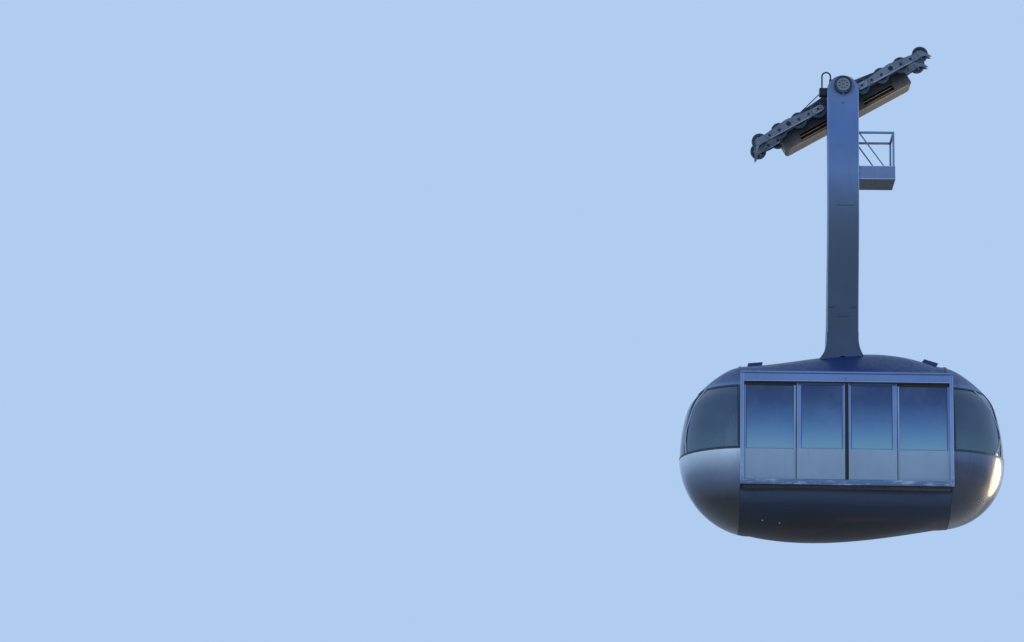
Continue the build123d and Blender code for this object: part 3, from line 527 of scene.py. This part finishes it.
class Piece:
    """One added piece: worked forms gathered in a mesh, which rides on one body."""

    def __init__(self, name):
        self.name = name
        self.mesh = bmesh.new()

    def box(self, low, high, bevel, axes=None):
        """Bevelled bar between two corners, given along these axes if any."""
        low, high = Vector(low), Vector(high)
        middle, size = (low + high) / 2, high - low
        turn = axes or Matrix.Identity(4)
        place = turn @ Matrix.Translation(middle) @ Matrix.Diagonal((*(abs(s) for s in size), 1.0))
        made = bmesh.ops.create_cube(self.mesh, size=1.0, matrix=place)
        edges = {edge for vert in made["verts"] for edge in vert.link_edges}
        bmesh.ops.bevel(self.mesh, geom=list(edges), offset=bevel, segments=2, affect="EDGES", profile=0.6)

    def ring(self, centre, radius, across, third, sides, shift=0.0):
        """New points round a circle, the first one turned by this share of a step."""
        turns = [2 * pi * (i + shift) / sides for i in range(sides)]
        return [self.mesh.verts.new(centre + radius * (cos(t) * across + sin(t) * third)) for t in turns]

    def wall(self, one, two):
        """Faces between two rings, either of which may be a single point."""
        for i in range(max(len(one), len(two))):
            corners = [one[j % len(one)] for j in (i, i + 1)] + [two[j % len(two)] for j in (i + 1, i)]
            self.mesh.faces.new(list(dict.fromkeys(corners)))

    def lathe(self, centre, axis, profile, sides):
        """Turned form: profile rows are radius and height along the axis."""
        axis = Vector(axis).normalized()
        across = axis.orthogonal().normalized()
        third = axis.cross(across)
        rings = []
        for radius, height in profile:
            foot = Vector(centre) + axis * height
            rings.append(self.ring(foot, radius, across, third, sides if radius else 1))
        for one, two in zip(rings, rings[1:]):
            self.wall(one, two)

    def bolt(self, centre, axis, radius):
        """Hexagon head on its washer."""
        for rows, sides in ((WASHER_ROWS, 16), (HEAD_ROWS, 6)):
            self.lathe(centre, axis, [(r * radius, h * radius) for r, h in rows], sides)

    def disc(self, centre, axis, radius, height, sides=16, inner=0.0):
        """Round plate, or ring, with its outer edge broken."""
        edge = min(height / 2, radius / 6)
        rim = [(radius, 0.0), (radius, height - edge), (radius - edge, height)]
        bore = [(inner, 0.0)] if inner else []
        self.lathe(centre, axis, [(inner, 0.0), *rim, (inner, height), *bore], sides)

    def tube(self, points, radius, closed=False):
        """Round bead or bar along points."""
        points = [Vector(point) for point in points]
        count = len(points)
        middle = sum(points, Vector()) / count
        rings = []
        across = None
        for index, point in enumerate(points):
            before = points[index - 1] if index or closed else point
            after = points[(index + 1) % count] if index < count - 1 or closed else point
            along = (after - before).normalized()
            if closed:
                across = point - middle
            elif across is None:
                across = along.orthogonal()
            across = (across - along * across.dot(along)).normalized()
            rings.append(self.ring(point, radius, across, along.cross(across), TUBE_SIDES, shift=0.5))
        for one, two in list(zip(rings, rings[1:] + rings[:1]))[: count if closed else count - 1]:
            self.wall(one, two)
        if not closed:
            self.mesh.faces.new(rings[0])
            self.mesh.faces.new(rings[-1])

    def ride(self, body, finish, slot=None):
        """The finished piece on its body, with its finish. The slot argument, the record's slot it belongs to, is
        not used.
        """
        bmesh.ops.recalc_face_normals(self.mesh, faces=self.mesh.faces)
        data = bpy.data.meshes.new(self.name)
        self.mesh.to_mesh(data)
        self.mesh.free()
        data.shade_smooth()
        data.set_sharp_from_angle(angle=SOFT_ANGLE)
        piece = bpy.data.objects.new(self.name, data)
        bpy.context.scene.collection.objects.link(piece)
        data.materials.append(FINISHES[finish])
        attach(piece, body)


# Distance from the cabin's middle at which every node is left behind
OUTSIDE = 9.0


class Skin:
    """Surface of a CAD node, for finding where a piece sits on it."""

    def __init__(self, node):
        data = nodes[node].data
        self.tree = BVHTree.FromPolygons([v.co for v in data.vertices], [p.vertices for p in data.polygons])

    def near(self, x, z, proud=0.0, side=SIDES["near"]):
        """Point on the near or the far side, this far off the surface."""
        place = self.tree.ray_cast(Vector((x, side * OUTSIDE, z)), Vector((0.0, -side, 0.0)))[0]
        return place + Vector((0.0, side * proud, 0.0))

    def inward(self, foot, out):
        """Point that a line towards the foot meets first, coming from outside."""
        return self.tree.ray_cast(foot + out * OUTSIDE, -out)[0]


def on_rope(u, v, y=0.0):
    """Place from its distances along and off the rope, counted from the carriage's middle."""
    return ALONG_ROPE * (MIDDLE_U + u) + OFF_ROPE * v + Vector((0.0, y, 0.0))


def circle(centre, radius, count, shift=0.0):
    """Places round a circle square to Y, the first one turned by this share of a step."""
    turns = [2 * pi * (i + shift) / count for i in range(count)]
    return [centre + radius * Vector((cos(t), 0.0, sin(t))) for t in turns]


def length_round(chain):
    return sum((a - b).length for a, b in zip(chain, chain[1:] + chain[:1]))


SHARP_ANGLE = radians(50.0)
SHORTEST_EDGE = 0.02
SAME_POINT = 1e-5


def loops_of(node):
    """Closed chains of a CAD node's sharp edges, longest first, as lists of points."""
    copy = bmesh.new()
    copy.from_mesh(nodes[node].data)
    bmesh.ops.remove_doubles(copy, verts=copy.verts, dist=SAME_POINT)
    edges = [e for e in copy.edges if len(e.link_faces) == 2 and e.calc_face_angle() > SHARP_ANGLE]
    joined = {}
    for edge in edges:
        if edge.calc_length() > SHORTEST_EDGE:
            first, second = edge.verts
            joined.setdefault(first, []).append(second)
            joined.setdefault(second, []).append(first)
    chains = []
    seen = set()
    for start in joined:
        if start in seen or len(joined[start]) != 2:
            continue
        chain, here = [start], joined[start][0]
        seen.add(start)
        while here not in seen:
            chain.append(here)
            seen.add(here)
            onward = [vert for vert in joined[here] if vert not in seen]
            if not onward:
                break
            here = onward[0]
        if len(chain) > 3:
            chains.append([vert.co.copy() for vert in chain])
    copy.free()
    return sorted(chains, key=length_round, reverse=True)


# Carriage: lanes across the ropes, axles and faces of the plates beside them
LANE_Y = 0.4
FACES = [(lane * LANE_Y, face) for lane in (-1.0, 1.0) for face in (-1.0, 1.0)]
ROCKER_FACE = 0.069
BEAM_FACE = 0.091
GUIDE_FACE = 0.083
AXLE_V = 0.165
INNER_ROLLER_U = 0.595
END_ROLLER_U = 2.185
PIVOT_U, PIVOT_V = 1.39, 0.195

# Frames and bolts on the inner ends of the rockers
SHOE_BARS = (
    # low u, low v, high u, high v, about the axle
    (-0.125, -0.070, 0.125, -0.048),
    (-0.125, 0.048, 0.125, 0.070),
    (-0.125, -0.070, -0.103, 0.070),
    (0.103, -0.070, 0.125, 0.070),
)
SHOE_THICKNESS = 0.010
SHOE_BOLT_U = 0.08
SHOE_BOLT_RADIUS = 0.011

# Strips and bolts on the beams and the rope guides
STRIP_U = (0.87, 1.91)
STRIP_V = (0.080, 0.100)
STRIP_THICKNESS = 0.008
PIVOT_BOLTS = 6
PIVOT_BOLT_CIRCLE = 0.090
PIVOT_BOLT_RADIUS = 0.009
BEAM_BOLT_PLACES = ((1.00, 0.205), (1.76, 0.205), (1.62, 0.115), (1.16, 0.115))
GUIDE_BOLT_PLACES = (
    (END_ROLLER_U - 0.055, 0.215),
    (END_ROLLER_U + 0.035, 0.118),
    (END_ROLLER_U + 0.085, 0.150),
)
BEAM_BOLT_RADIUS = 0.010
FINE_BEVEL = 0.002


def add_bogie_pieces():
    """Shoes, strips and bolts on the rockers, beams and rope guides."""
    shoes, strips, bolts = Piece("rocker_shoes"), Piece("beam_strips"), Piece("carriage_bolts")
    for lane_y, face in FACES:
        out = Vector((0.0, face, 0.0))
        plate, beam, guide = (lane_y + face * reach for reach in (ROCKER_FACE, BEAM_FACE, GUIDE_FACE))
        for end in ENDS.values():
            u = end * INNER_ROLLER_U
            for low_u, low_v, high_u, high_v in SHOE_BARS:
                low = (u + low_u, plate, AXLE_V + low_v)
                high = (u + high_u, plate + face * SHOE_THICKNESS, AXLE_V + high_v)
                shoes.box(low, high, FINE_BEVEL, ROPE_AXES)
            for shift in (-SHOE_BOLT_U, SHOE_BOLT_U):
                bolts.bolt(on_rope(u + shift, AXLE_V, plate), out, SHOE_BOLT_RADIUS)
            low = (end * STRIP_U[0], beam, STRIP_V[0])
            high = (end * STRIP_U[1], beam + face * STRIP_THICKNESS, STRIP_V[1])
            strips.box(low, high, FINE_BEVEL, ROPE_AXES)
            for place in circle(on_rope(end * PIVOT_U, PIVOT_V, beam), PIVOT_BOLT_CIRCLE, PIVOT_BOLTS):
                bolts.bolt(place, out, PIVOT_BOLT_RADIUS)
            for places, y in ((BEAM_BOLT_PLACES, beam), (GUIDE_BOLT_PLACES, guide)):
                for u, v in places:
                    bolts.bolt(on_rope(end * u, v, y), out, BEAM_BOLT_RADIUS)
    shoes.ride("carriage", "worn_plate", "carriage_plate")
    strips.ride("carriage", "worn_plate", "carriage_plate")
    bolts.ride("carriage", "bright_steel")


# Girder: its skin, bottom edge in tan as a painted sunlit highlight, ribs, pipes inside, socket rings and the
# brace on its top
GIRDER_SKIN_Y = 0.262
EDGE_HALF_LENGTH = 1.62
EDGE_V = (-0.322, -0.306)
EDGE_THICKNESS = 0.016
RIB_PLACES_U = (0.43, 1.29, 1.55)
RIB_HALF_WIDTH = 0.010
RIB_V = (-0.300, -0.085)
RIB_THICKNESS = 0.012
SLOT_U = (0.43, 1.29)
SLOT_RIBS_V = (-0.288, -0.104)
SLOT_RIB_WIDTH = 0.012
GIRDER_BEVEL = 0.003
PIPE_PLACES_V = (-0.150, -0.238)
PIPE_Y = 0.16
PIPE_HALF_LENGTH = 1.676
PIPE_RADIUS = 0.013
SOCKET_U, SOCKET_V = 1.700, -0.195
SOCKET_RADIUS = 0.066
SOCKET_BORE = 0.028
SOCKET_HEIGHT = 0.018
SOCKET_SIDES = 24
BRACE_Y = -0.25
BRACE_RADIUS = 0.012
BRACE_BARS = (
    # u and v of both ends
    ((-0.99, 0.345), (-0.34, 0.525)),
    ((-0.34, 0.425), (-0.34, 0.535)),
)


def add_girder_pieces():
    """Ribs round the slots of the girder, its bottom edge, the pipes behind the slots and the brace."""
    ribs, edge, pipes = Piece("girder_ribs"), Piece("girder_edge"), Piece("girder_pipes")
    for side in SIDES.values():
        skin_y = side * GIRDER_SKIN_Y
        rib_y, edge_y = skin_y + side * RIB_THICKNESS, skin_y + side * EDGE_THICKNESS
        # Bottom edge in tan: a painted sunlit highlight
        low, high = (-EDGE_HALF_LENGTH, skin_y, EDGE_V[0]), (EDGE_HALF_LENGTH, edge_y, EDGE_V[1])
        edge.box(low, high, GIRDER_BEVEL, ROPE_AXES)
        for end in ENDS.values():
            for u in RIB_PLACES_U:
                low = (end * u - RIB_HALF_WIDTH, skin_y, RIB_V[0])
                high = (end * u + RIB_HALF_WIDTH, rib_y, RIB_V[1])
                ribs.box(low, high, GIRDER_BEVEL, ROPE_AXES)
            for v in SLOT_RIBS_V:
                low, high = (end * SLOT_U[0], skin_y, v), (end * SLOT_U[1], rib_y, v + SLOT_RIB_WIDTH)
                ribs.box(low, high, GIRDER_BEVEL, ROPE_AXES)
        for v in PIPE_PLACES_V:
            ends = [on_rope(end * PIPE_HALF_LENGTH, v, side * PIPE_Y) for end in ENDS.values()]
            pipes.tube(ends, PIPE_RADIUS)
    for end in ENDS.values():
        place = on_rope(end * SOCKET_U, SOCKET_V)
        edge.disc(place, ALONG_ROPE * end, SOCKET_RADIUS, SOCKET_HEIGHT, SOCKET_SIDES, SOCKET_BORE)
    ribs.ride("carriage", "carriage_box")
    edge.ride("carriage", "tan_pipe_and_lit_edge", "carriage_box")
    pipes.ride("carriage", "tan_pipe_and_lit_edge", "bright_steel")

    brace = Piece("girder_brace")
    for bar in BRACE_BARS:
        brace.tube([on_rope(u, v, BRACE_Y) for u, v in bar], BRACE_RADIUS)
    brace.ride("carriage", "dark_steel")


# Rollers: worn rings and the ring of studs on both faces
ROLLER_FACE = 0.045
ROLLER_RINGS = (
    # radius, height, sides, inner radius
    (0.188, 0.004, 48, 0.180),
    (0.060, 0.006, 24, 0.034),
)
STUDS = 16
STUD_CIRCLE = 0.156
STUD_RADIUS = 0.0125
STUD_HEIGHT = 0.002
STUD_SIDES = 10


def add_roller_pieces():
    """Bright rings and dark studs on the faces of each roller, turning with it."""
    for joint in frame["joints"]:
        if not joint["name"].startswith("roller_"):
            continue
        rims, studs = Piece(joint["child"] + "_rims"), Piece(joint["child"] + "_studs")
        for side in SIDES.values():
            out = Vector((0.0, side, 0.0))
            centre = Vector(joint["pos_m"]) + out * ROLLER_FACE
            for ring in ROLLER_RINGS:
                rims.disc(centre, out, *ring)
            for place in circle(centre, STUD_CIRCLE, STUDS):
                studs.disc(place, out, STUD_RADIUS, STUD_HEIGHT, STUD_SIDES)
        rims.ride(joint["child"], "rim_steel", "roller_steel")
        studs.ride(joint["child"], "stud_dark", "roller_steel")


# Main pin: centre of its outer face, and what sits on it and round it
PIN = Vector((0.0, -1.04, 0.31))
PIN_RIM_ROWS = (
    # radius, height away from the face
    (0.1985, 0.004),
    (0.202, 0.0),
    (0.208, 0.006),
    (0.208, 0.119),
    (0.1985, 0.119),
    (0.1985, 0.004),
)
PIN_SIDES = 48
FLANGE_RING = (0.183, 0.004, PIN_SIDES, 0.158)
FLANGE_BOLTS = 12
FLANGE_BOLT_CIRCLE = 0.136
FLANGE_BOLT_RADIUS = 0.009
FLANGE_HOLES = 8
FLANGE_HOLE_CIRCLE = 0.092
FLANGE_HOLE = (0.017, 0.003)
PIN_SLOT = (Vector((-0.032, -0.003, -0.010)), Vector((0.032, 0.0, 0.010)), 0.001)
PIN_LUG = (Vector((-0.018, 0.02, -0.222)), Vector((0.018, 0.10, -0.200)), 0.004)

# Arm: seams across its near face, the plug below the pin, and pale beads along its edges, painted highlights
ARM_SEAMS = (
    # height, left end, right end
    (-2.606, -0.157, 0.266),
    (-4.970, -0.357, -0.198),
    (-4.970, 0.172, 0.300),
    (-5.176, -0.162, 0.162),
)
SEAM_RADIUS = 0.006
ARM_PLUG_Z = -0.11
ARM_PLUG = (0.019, 0.003)
ARM_EDGE_X = 0.357
ARM_EDGE_TOP = 0.20
ARM_EDGE_STEP = 0.25
ARM_EDGE_POINTS = 24
ARM_EDGE_RADIUS = 0.007
ARM_EDGE_SUNK = 0.001

# Platform: strips along the tray's edges and the bolts between them
TRAY_STRIP_WIDTH = 0.016
TRAY_STRIP_THICKNESS = 0.006
TRAY_STRIP_INSET = 0.02
TRAY_STRIP_MARGIN = 0.002
TRAY_BOLT_MARGINS = (0.08, 0.06)
TRAY_BOLT_RADIUS = 0.009


def add_hanger_pieces():
    """Bolted flange, seams and pale edge beads of painted highlight on the arm, and trim on the platform."""
    rim, bolts, holes = Piece("pin_rim"), Piece("pin_bolts"), Piece("pin_holes")
    rim.lathe(PIN, FAR, PIN_RIM_ROWS, PIN_SIDES)
    rim.disc(PIN, NEAR, *FLANGE_RING)
    for place in circle(PIN, FLANGE_BOLT_CIRCLE, FLANGE_BOLTS):
        bolts.bolt(place, NEAR, FLANGE_BOLT_RADIUS)
    for place in circle(PIN, FLANGE_HOLE_CIRCLE, FLANGE_HOLES, shift=0.5):
        holes.disc(place, NEAR, *FLANGE_HOLE)
    for piece, (low, high, bevel) in ((holes, PIN_SLOT), (bolts, PIN_LUG)):
        piece.box(PIN + low, PIN + high, bevel)
    rim.ride("hanger", "black_rubber", "dark_steel")
    bolts.ride("hanger", "bright_steel")
    holes.ride("hanger", "black_rubber", "dark_steel")

    arm = Skin("arm")
    seams, edges = Piece("arm_seams"), Piece("arm_edge_highlights")
    for z, low, high in ARM_SEAMS:
        seams.tube([arm.near(low, z), arm.near(high, z)], SEAM_RADIUS)
    seams.disc(arm.near(0.0, ARM_PLUG_Z), NEAR, *ARM_PLUG)
    # Pale beads down both edges: painted highlights
    heights = [ARM_EDGE_TOP - ARM_EDGE_STEP * i for i in range(ARM_EDGE_POINTS)]
    for x in (-ARM_EDGE_X, ARM_EDGE_X):
        edges.tube([arm.near(x, z, -ARM_EDGE_SUNK) for z in heights], ARM_EDGE_RADIUS)
    seams.ride("hanger", "black_rubber", "arm_paint")
    edges.ride("hanger", "pale_trim_and_highlight", "arm_paint")

    trim, fixings = Piece("platform_trim"), Piece("platform_fixings")
    low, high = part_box("platform_tray")
    near_y, right_x = low.y - TRAY_STRIP_THICKNESS, high.x + TRAY_STRIP_THICKNESS
    for z in (low.z + TRAY_STRIP_MARGIN, high.z - TRAY_STRIP_MARGIN - TRAY_STRIP_WIDTH):
        top = z + TRAY_STRIP_WIDTH
        trim.box((low.x + TRAY_STRIP_INSET, near_y, z), (high.x, low.y, top), FINE_BEVEL)
        trim.box((high.x, near_y, z), (right_x, high.y, top), FINE_BEVEL)
    across, upright = TRAY_BOLT_MARGINS
    for x in (low.x + across, (low.x + high.x) / 2, high.x - across):
        for z in (low.z + upright, high.z - upright):
            fixings.bolt((x, low.y, z), NEAR, TRAY_BOLT_RADIUS)
    trim.ride("hanger", "pale_trim_and_highlight", "platform_metal")
    fixings.ride("hanger", "bright_steel")


# Portals: pale beads on header and posts, partly painted highlight, grooves, the eye in the header and a dark
# strip under the sill, painted shade
PORTAL_HALF = 2.325
HEADER_BEADS = (
    # height, distance off the surface
    (-6.772, -0.009),
    (-6.984, 0.002),
)
HEADER_BEAD_RADIUS = 0.008
POST_BEADS_X = (-2.395, -2.331, 2.331, 2.395)
POST_HEIGHTS = (-6.83, -8.0, -9.30)
POST_BEAD_RADIUS = 0.006
# Groove under the top bead; its black is partly painted shade under the gutter
HEADER_GROOVE_Z = -6.812
HEADER_GROOVE_RADIUS = 0.005
HEADER_EYE = (-0.016, -6.908)
HEADER_EYE_SIZE = (0.014, 0.003)
# Dark strip below the sill, painted shade under its underside
UNDER_SILL_SHADE_Y = (1.45, 1.675)
UNDER_SILL_SHADE_Z = (-9.435, -9.369)
UNDER_SILL_SHADE_BEVEL = 0.008

# Fixed panels beside the doors: the shadow strip above the glass, the stile and the window's frame
PANEL_FACE = 1.635
PANEL_TOP = GLASS_LOW - 0.02
STRIP_PROUD = 0.003
STRIP_BEVEL = 0.001
SHADE_X = (1.142, PORTAL_HALF)
SHADE_Z = (-7.072, -6.990)
STILE_X = (1.150, 1.185)
STILE_TOP = -7.074
SIDE_WINDOW_X = (1.143, 2.272)
SIDE_WINDOW_Y = 1.626
WINDOW_BORDER = 0.003
WINDOW_Z = (GLASS_LOW + WINDOW_BORDER, GLASS_HIGH - WINDOW_BORDER)
WINDOW_SEAL_RADIUS = 0.008

# Door leaves: rubber edges, the window's frame and thin stiles
LEAF_BORDER = 0.004
LEAF_Z = (LEAF_LOW.z + LEAF_BORDER, LEAF_HIGH.z - LEAF_BORDER)
LEAF_SEALS_X = ((0.0015, 0.0420), (1.1300, 1.1420))
LEAF_SEAL_Y = (1.650, 1.682)
LEAF_WINDOW_X = (abs(PANE_HIGH.x) + WINDOW_BORDER, abs(PANE_LOW.x) - WINDOW_BORDER)
LEAF_WINDOW_Y = 1.678
LEAF_STILES_X = (0.046, 1.122)
LEAF_FACE = 1.688
LEAF_STILE_RADIUS = 0.004


def window_seal(piece, end, side, across, y):
    """Rubber frame round a window, at one end of one side."""
    (inner, outer), (low, high) = across, WINDOW_Z
    corners = ((inner, low), (outer, low), (outer, high), (inner, high))
    piece.tube([(end * x, side * y, z) for x, z in corners], WINDOW_SEAL_RADIUS, closed=True)


def strip(piece, end, side, across, heights):
    """Flat strip on a fixed panel, at one end of one side."""
    low, high = (end * x for x in across)
    face, front = side * PANEL_FACE, side * (PANEL_FACE + STRIP_PROUD)
    piece.box((low, face, heights[0]), (high, front, heights[1]), STRIP_BEVEL)


def add_side_pieces():
    """Trim of the door portals with dark strips of painted shade, rims round the side windows, and the rubber
    seals of the leaves.
    """
    for name, side in SIDES.items():
        portal = Skin("portal_" + name)
        beads, grooves = Piece("portal_beads_" + name), Piece("portal_seals_and_shade_" + name)
        across = (-PORTAL_HALF, PORTAL_HALF)
        # Pale beads on header and posts: partly painted highlight of lit edges
        for z, proud in HEADER_BEADS:
            beads.tube([portal.near(x, z, proud, side) for x in across], HEADER_BEAD_RADIUS)
        for x in POST_BEADS_X:
            beads.tube([portal.near(x, z, 0.0, side) for z in POST_HEIGHTS], POST_BEAD_RADIUS)
        groove = [portal.near(x, HEADER_GROOVE_Z, 0.0, side) for x in across]
        grooves.tube(groove, HEADER_GROOVE_RADIUS)
        grooves.disc(portal.near(*HEADER_EYE, 0.0, side), (0.0, side, 0.0), *HEADER_EYE_SIZE)
        # Dark strip under the sill: painted shade
        back, front = (side * y for y in UNDER_SILL_SHADE_Y)
        low, high = (-PORTAL_HALF, back, UNDER_SILL_SHADE_Z[0]), (PORTAL_HALF, front, UNDER_SILL_SHADE_Z[1])
        grooves.box(low, high, UNDER_SILL_SHADE_BEVEL)
        for end in ENDS.values():
            # Dark strip above the fixed panel's glass: painted shadow of the header
            strip(grooves, end, side, SHADE_X, SHADE_Z)
            strip(beads, end, side, STILE_X, (PANEL_TOP, STILE_TOP))
            window_seal(grooves, end, side, SIDE_WINDOW_X, SIDE_WINDOW_Y)
        beads.ride("hanger", "pale_trim_and_highlight", "portal_paint")
        grooves.ride("hanger", "black_rubber")

        for leaf, end in ENDS.items():
            body = f"door_{name}_{leaf}"
            seal, stiles = Piece("seals_" + body), Piece("stiles_" + body)
            back, front = (side * y for y in LEAF_SEAL_Y)
            for edges in LEAF_SEALS_X:
                low, high = (end * x for x in edges)
                seal.box((low, back, LEAF_Z[0]), (high, front, LEAF_Z[1]), FINE_BEVEL)
            window_seal(seal, end, side, LEAF_WINDOW_X, LEAF_WINDOW_Y)
            for x in LEAF_STILES_X:
                line = [(end * x, side * LEAF_FACE, z) for z in (PANEL_TOP, LEAF_Z[1])]
                stiles.tube(line, LEAF_STILE_RADIUS)
            seal.ride(body, "black_rubber")
            stiles.ride(body, "pale_trim_and_highlight", "door_paint")


# Corner beads of the end glazing: rows of height and degrees round the dome from the long axis
BLUNT_BEAD = (
    (-6.99, 32.0),
    (-7.20, 29.0),
    (-7.44, 26.0),
    (-7.70, 24.0),
    (-7.95, 22.6),
    (-8.20, 22.8),
    (-8.50, 25.0),
)
SWEPT_BEAD = (
    (-6.99, 46.0),
    (-7.18, 39.0),
    (-7.40, 32.5),
    (-7.65, 26.5),
    (-7.85, 23.0),
    (-8.02, 22.6),
    (-8.18, 25.0),
    (-8.33, 29.5),
    (-8.44, 34.0),
    (-8.50, 37.0),
)
DOME_MIDDLE_X = 2.13
CORNER_BEAD_PROUD = 0.004
CORNER_BEAD_RADIUS = 0.016
GASKET_RADIUS = 0.013
GASKET_APART = 0.06

# Belly: the seams at both ends of its middle length, and the drains
BELLY_SEAM_X = 2.398
BELLY_SEAM_MIDDLE_Z = -9.0
BELLY_SEAM_FROM, BELLY_SEAM_TO = radians(17.0), radians(163.0)
BELLY_SEAM_STEPS = 40
BELLY_SEAM_PROUD = 0.001
DRAIN_PLACES = ((-1.865, -10.05), (-1.479, -10.106))
DRAIN_SIZE = (0.016, 0.006)


def corner_bead(glass, border, rows, end, side):
    """Points down the dome's corner, on the glass or on its border, whichever stands further out."""
    points = []
    for z, degrees in rows:
        turn = radians(degrees)
        out = Vector((end * cos(turn), side * sin(turn), 0.0))
        foot = Vector((end * DOME_MIDDLE_X, 0.0, z))
        hits = [skin.inward(foot, out) for skin in (glass, border)]
        reaches = [(hit - foot).dot(out) for hit in hits if hit]
        reaches = [reach for reach in reaches if reach > 0.0]
        if reaches:
            points.append(foot + out * (max(reaches) + CORNER_BEAD_PROUD))
    return points


def add_hull_pieces():
    """Gaskets round the end panes, beads on their corner seams, and the seams and drains of the belly."""
    for name, end in ENDS.items():
        gaskets, beads = Piece("end_gaskets_" + name), Piece("end_beads_" + name)
        kept = []
        for loop in loops_of("end_glass_" + name):
            middle = sum(loop, Vector()) / len(loop)
            if all((middle - other).length > GASKET_APART for other in kept):
                kept.append(middle)
                gaskets.tube(loop, GASKET_RADIUS, closed=True)
        glass, border = Skin("end_glass_" + name), Skin("end_frame_" + name)
        for side in SIDES.values():
            rows = SWEPT_BEAD if (name, side) == ("right", SIDES["near"]) else BLUNT_BEAD
            # Pale corner beads: partly a painted glint along the seams
            beads.tube(corner_bead(glass, border, rows, end, side), CORNER_BEAD_RADIUS)
        gaskets.ride("hanger", "black_rubber")
        beads.ride("hanger", "pale_trim_and_highlight", "hull_paint")

    belly = Skin("belly_centre")
    seams, drains = Piece("belly_seams"), Piece("belly_drains")
    for end in ENDS.values():
        foot = Vector((end * BELLY_SEAM_X, 0.0, BELLY_SEAM_MIDDLE_Z))
        points = []
        for step in range(BELLY_SEAM_STEPS + 1):
            turn = BELLY_SEAM_FROM + (BELLY_SEAM_TO - BELLY_SEAM_FROM) * step / BELLY_SEAM_STEPS
            out = Vector((0.0, -cos(turn), -sin(turn)))
            points.append(belly.inward(foot, out) + out * BELLY_SEAM_PROUD)
        seams.tube(points, SEAM_RADIUS)
    for side in SIDES.values():
        for x, z in DRAIN_PLACES:
            start = Vector((x, side * OUTSIDE, z))
            place, normal, *_ = belly.tree.ray_cast(start, Vector((0.0, -side, 0.0)))
            drains.disc(place, normal if normal.y * side > 0 else -normal, *DRAIN_SIZE)
    seams.ride("hanger", "black_rubber", "hull_paint")
    drains.ride("hanger", "pale_trim_and_highlight", "bright_steel")


STAGE_LAMPS = (
    # name, place, width, height, power, colour, seen in reflections
    ("key", (-20.0, -36.0, 6.0), 22.0, 22.0, 8600.0, (0.92, 0.96, 1.0), False),
    ("fill", (24.0, -30.0, -4.0), 20.0, 20.0, 3600.0, (0.90, 0.94, 1.0), False),
    ("warm_edge", (34.0, 20.0, -11.0), 20.0, 22.0, 12500.0, (1.0, 0.78, 0.50), True),
    ("back", (-14.0, 28.0, 6.0), 16.0, 16.0, 1600.0, (0.95, 0.97, 1.0), False),
)
LAMP_AIM = Vector((0.0, 0.0, -6.0))
FLOOR_HALF = 240.0
FLOOR_TONES = ((0.61, 0.65, 0.71), (0.625, 0.665, 0.725))
SKY_COLOUR = srgb(176, 205, 241)
SKY_LIGHT = (0.55, 0.68, 0.90)
SKY_LIGHT_STRENGTH = 0.75


def add_floor():
    """Pale floor at the camera's feet."""
    data = bpy.data.meshes.new("floor_plane")
    level = CAMERA_PLACE.z - FLOOR_BELOW_CAMERA
    corners = [(x * FLOOR_HALF, y * FLOOR_HALF, level) for x, y in ((-1, -1), (1, -1), (1, 1), (-1, 1))]
    data.from_pydata(corners, [], [(0, 1, 2, 3)])
    floor = bpy.data.objects.new("stage_floor", data)
    bpy.context.scene.collection.objects.link(floor)
    shader = Shader("stage_floor").set(Roughness=0.9)
    mottled = shader.spread(shader.noise(*FLOOR_MOTTLE), *MOTTLE_RANGE)
    shader.colour(shader.blend(mottled, *FLOOR_TONES))
    data.materials.append(shader.material)


def add_sky():
    """World that shows a pale sky to the camera, in glass and in reflections, and lights softly."""
    world = bpy.data.worlds.new("sky")
    bpy.context.scene.world = world
    world.use_nodes = True
    tree = world.node_tree
    tree.nodes.clear()
    path = tree.nodes.new("ShaderNodeLightPath")
    seen = path.outputs["Is Camera Ray"]
    for kind in ("Is Transmission Ray", "Is Glossy Ray"):
        either = tree.nodes.new("ShaderNodeMath")
        either.operation = "MAXIMUM"
        tree.links.new(seen, either.inputs[0])
        tree.links.new(path.outputs[kind], either.inputs[1])
        seen = either.outputs[0]
    mixer = tree.nodes.new("ShaderNodeMixShader")
    tree.links.new(seen, mixer.inputs["Fac"])
    for socket, colour, strength in ((1, SKY_LIGHT, SKY_LIGHT_STRENGTH), (2, SKY_COLOUR, 1.0)):
        backdrop = tree.nodes.new("ShaderNodeBackground")
        backdrop.inputs["Color"].default_value = (*colour, 1.0)
        backdrop.inputs["Strength"].default_value = strength
        tree.links.new(backdrop.outputs[0], mixer.inputs[socket])
    output = tree.nodes.new("ShaderNodeOutputWorld")
    tree.links.new(mixer.outputs[0], output.inputs["Surface"])


def add_lamps():
    """Soft round lamps, all aimed at the cabin."""
    for name, place, width, height, power, colour, mirrored in STAGE_LAMPS:
        lamp = bpy.data.lights.new(name, "AREA")
        lamp.shape = "ELLIPSE"
        lamp.size = width
        lamp.size_y = height
        lamp.energy = power
        lamp.color = colour
        holder = bpy.data.objects.new(name, lamp)
        holder.location = place
        holder.rotation_euler = (LAMP_AIM - Vector(place)).to_track_quat("-Z", "Y").to_euler()
        holder.visible_glossy = mirrored
        bpy.context.scene.collection.objects.link(holder)


add_camera()
finish_nodes()
add_bogie_pieces()
add_girder_pieces()
add_roller_pieces()
add_hanger_pieces()
add_side_pieces()
add_hull_pieces()
add_floor()
add_sky()
add_lamps()
bpy.context.scene.view_settings.view_transform = "Standard"
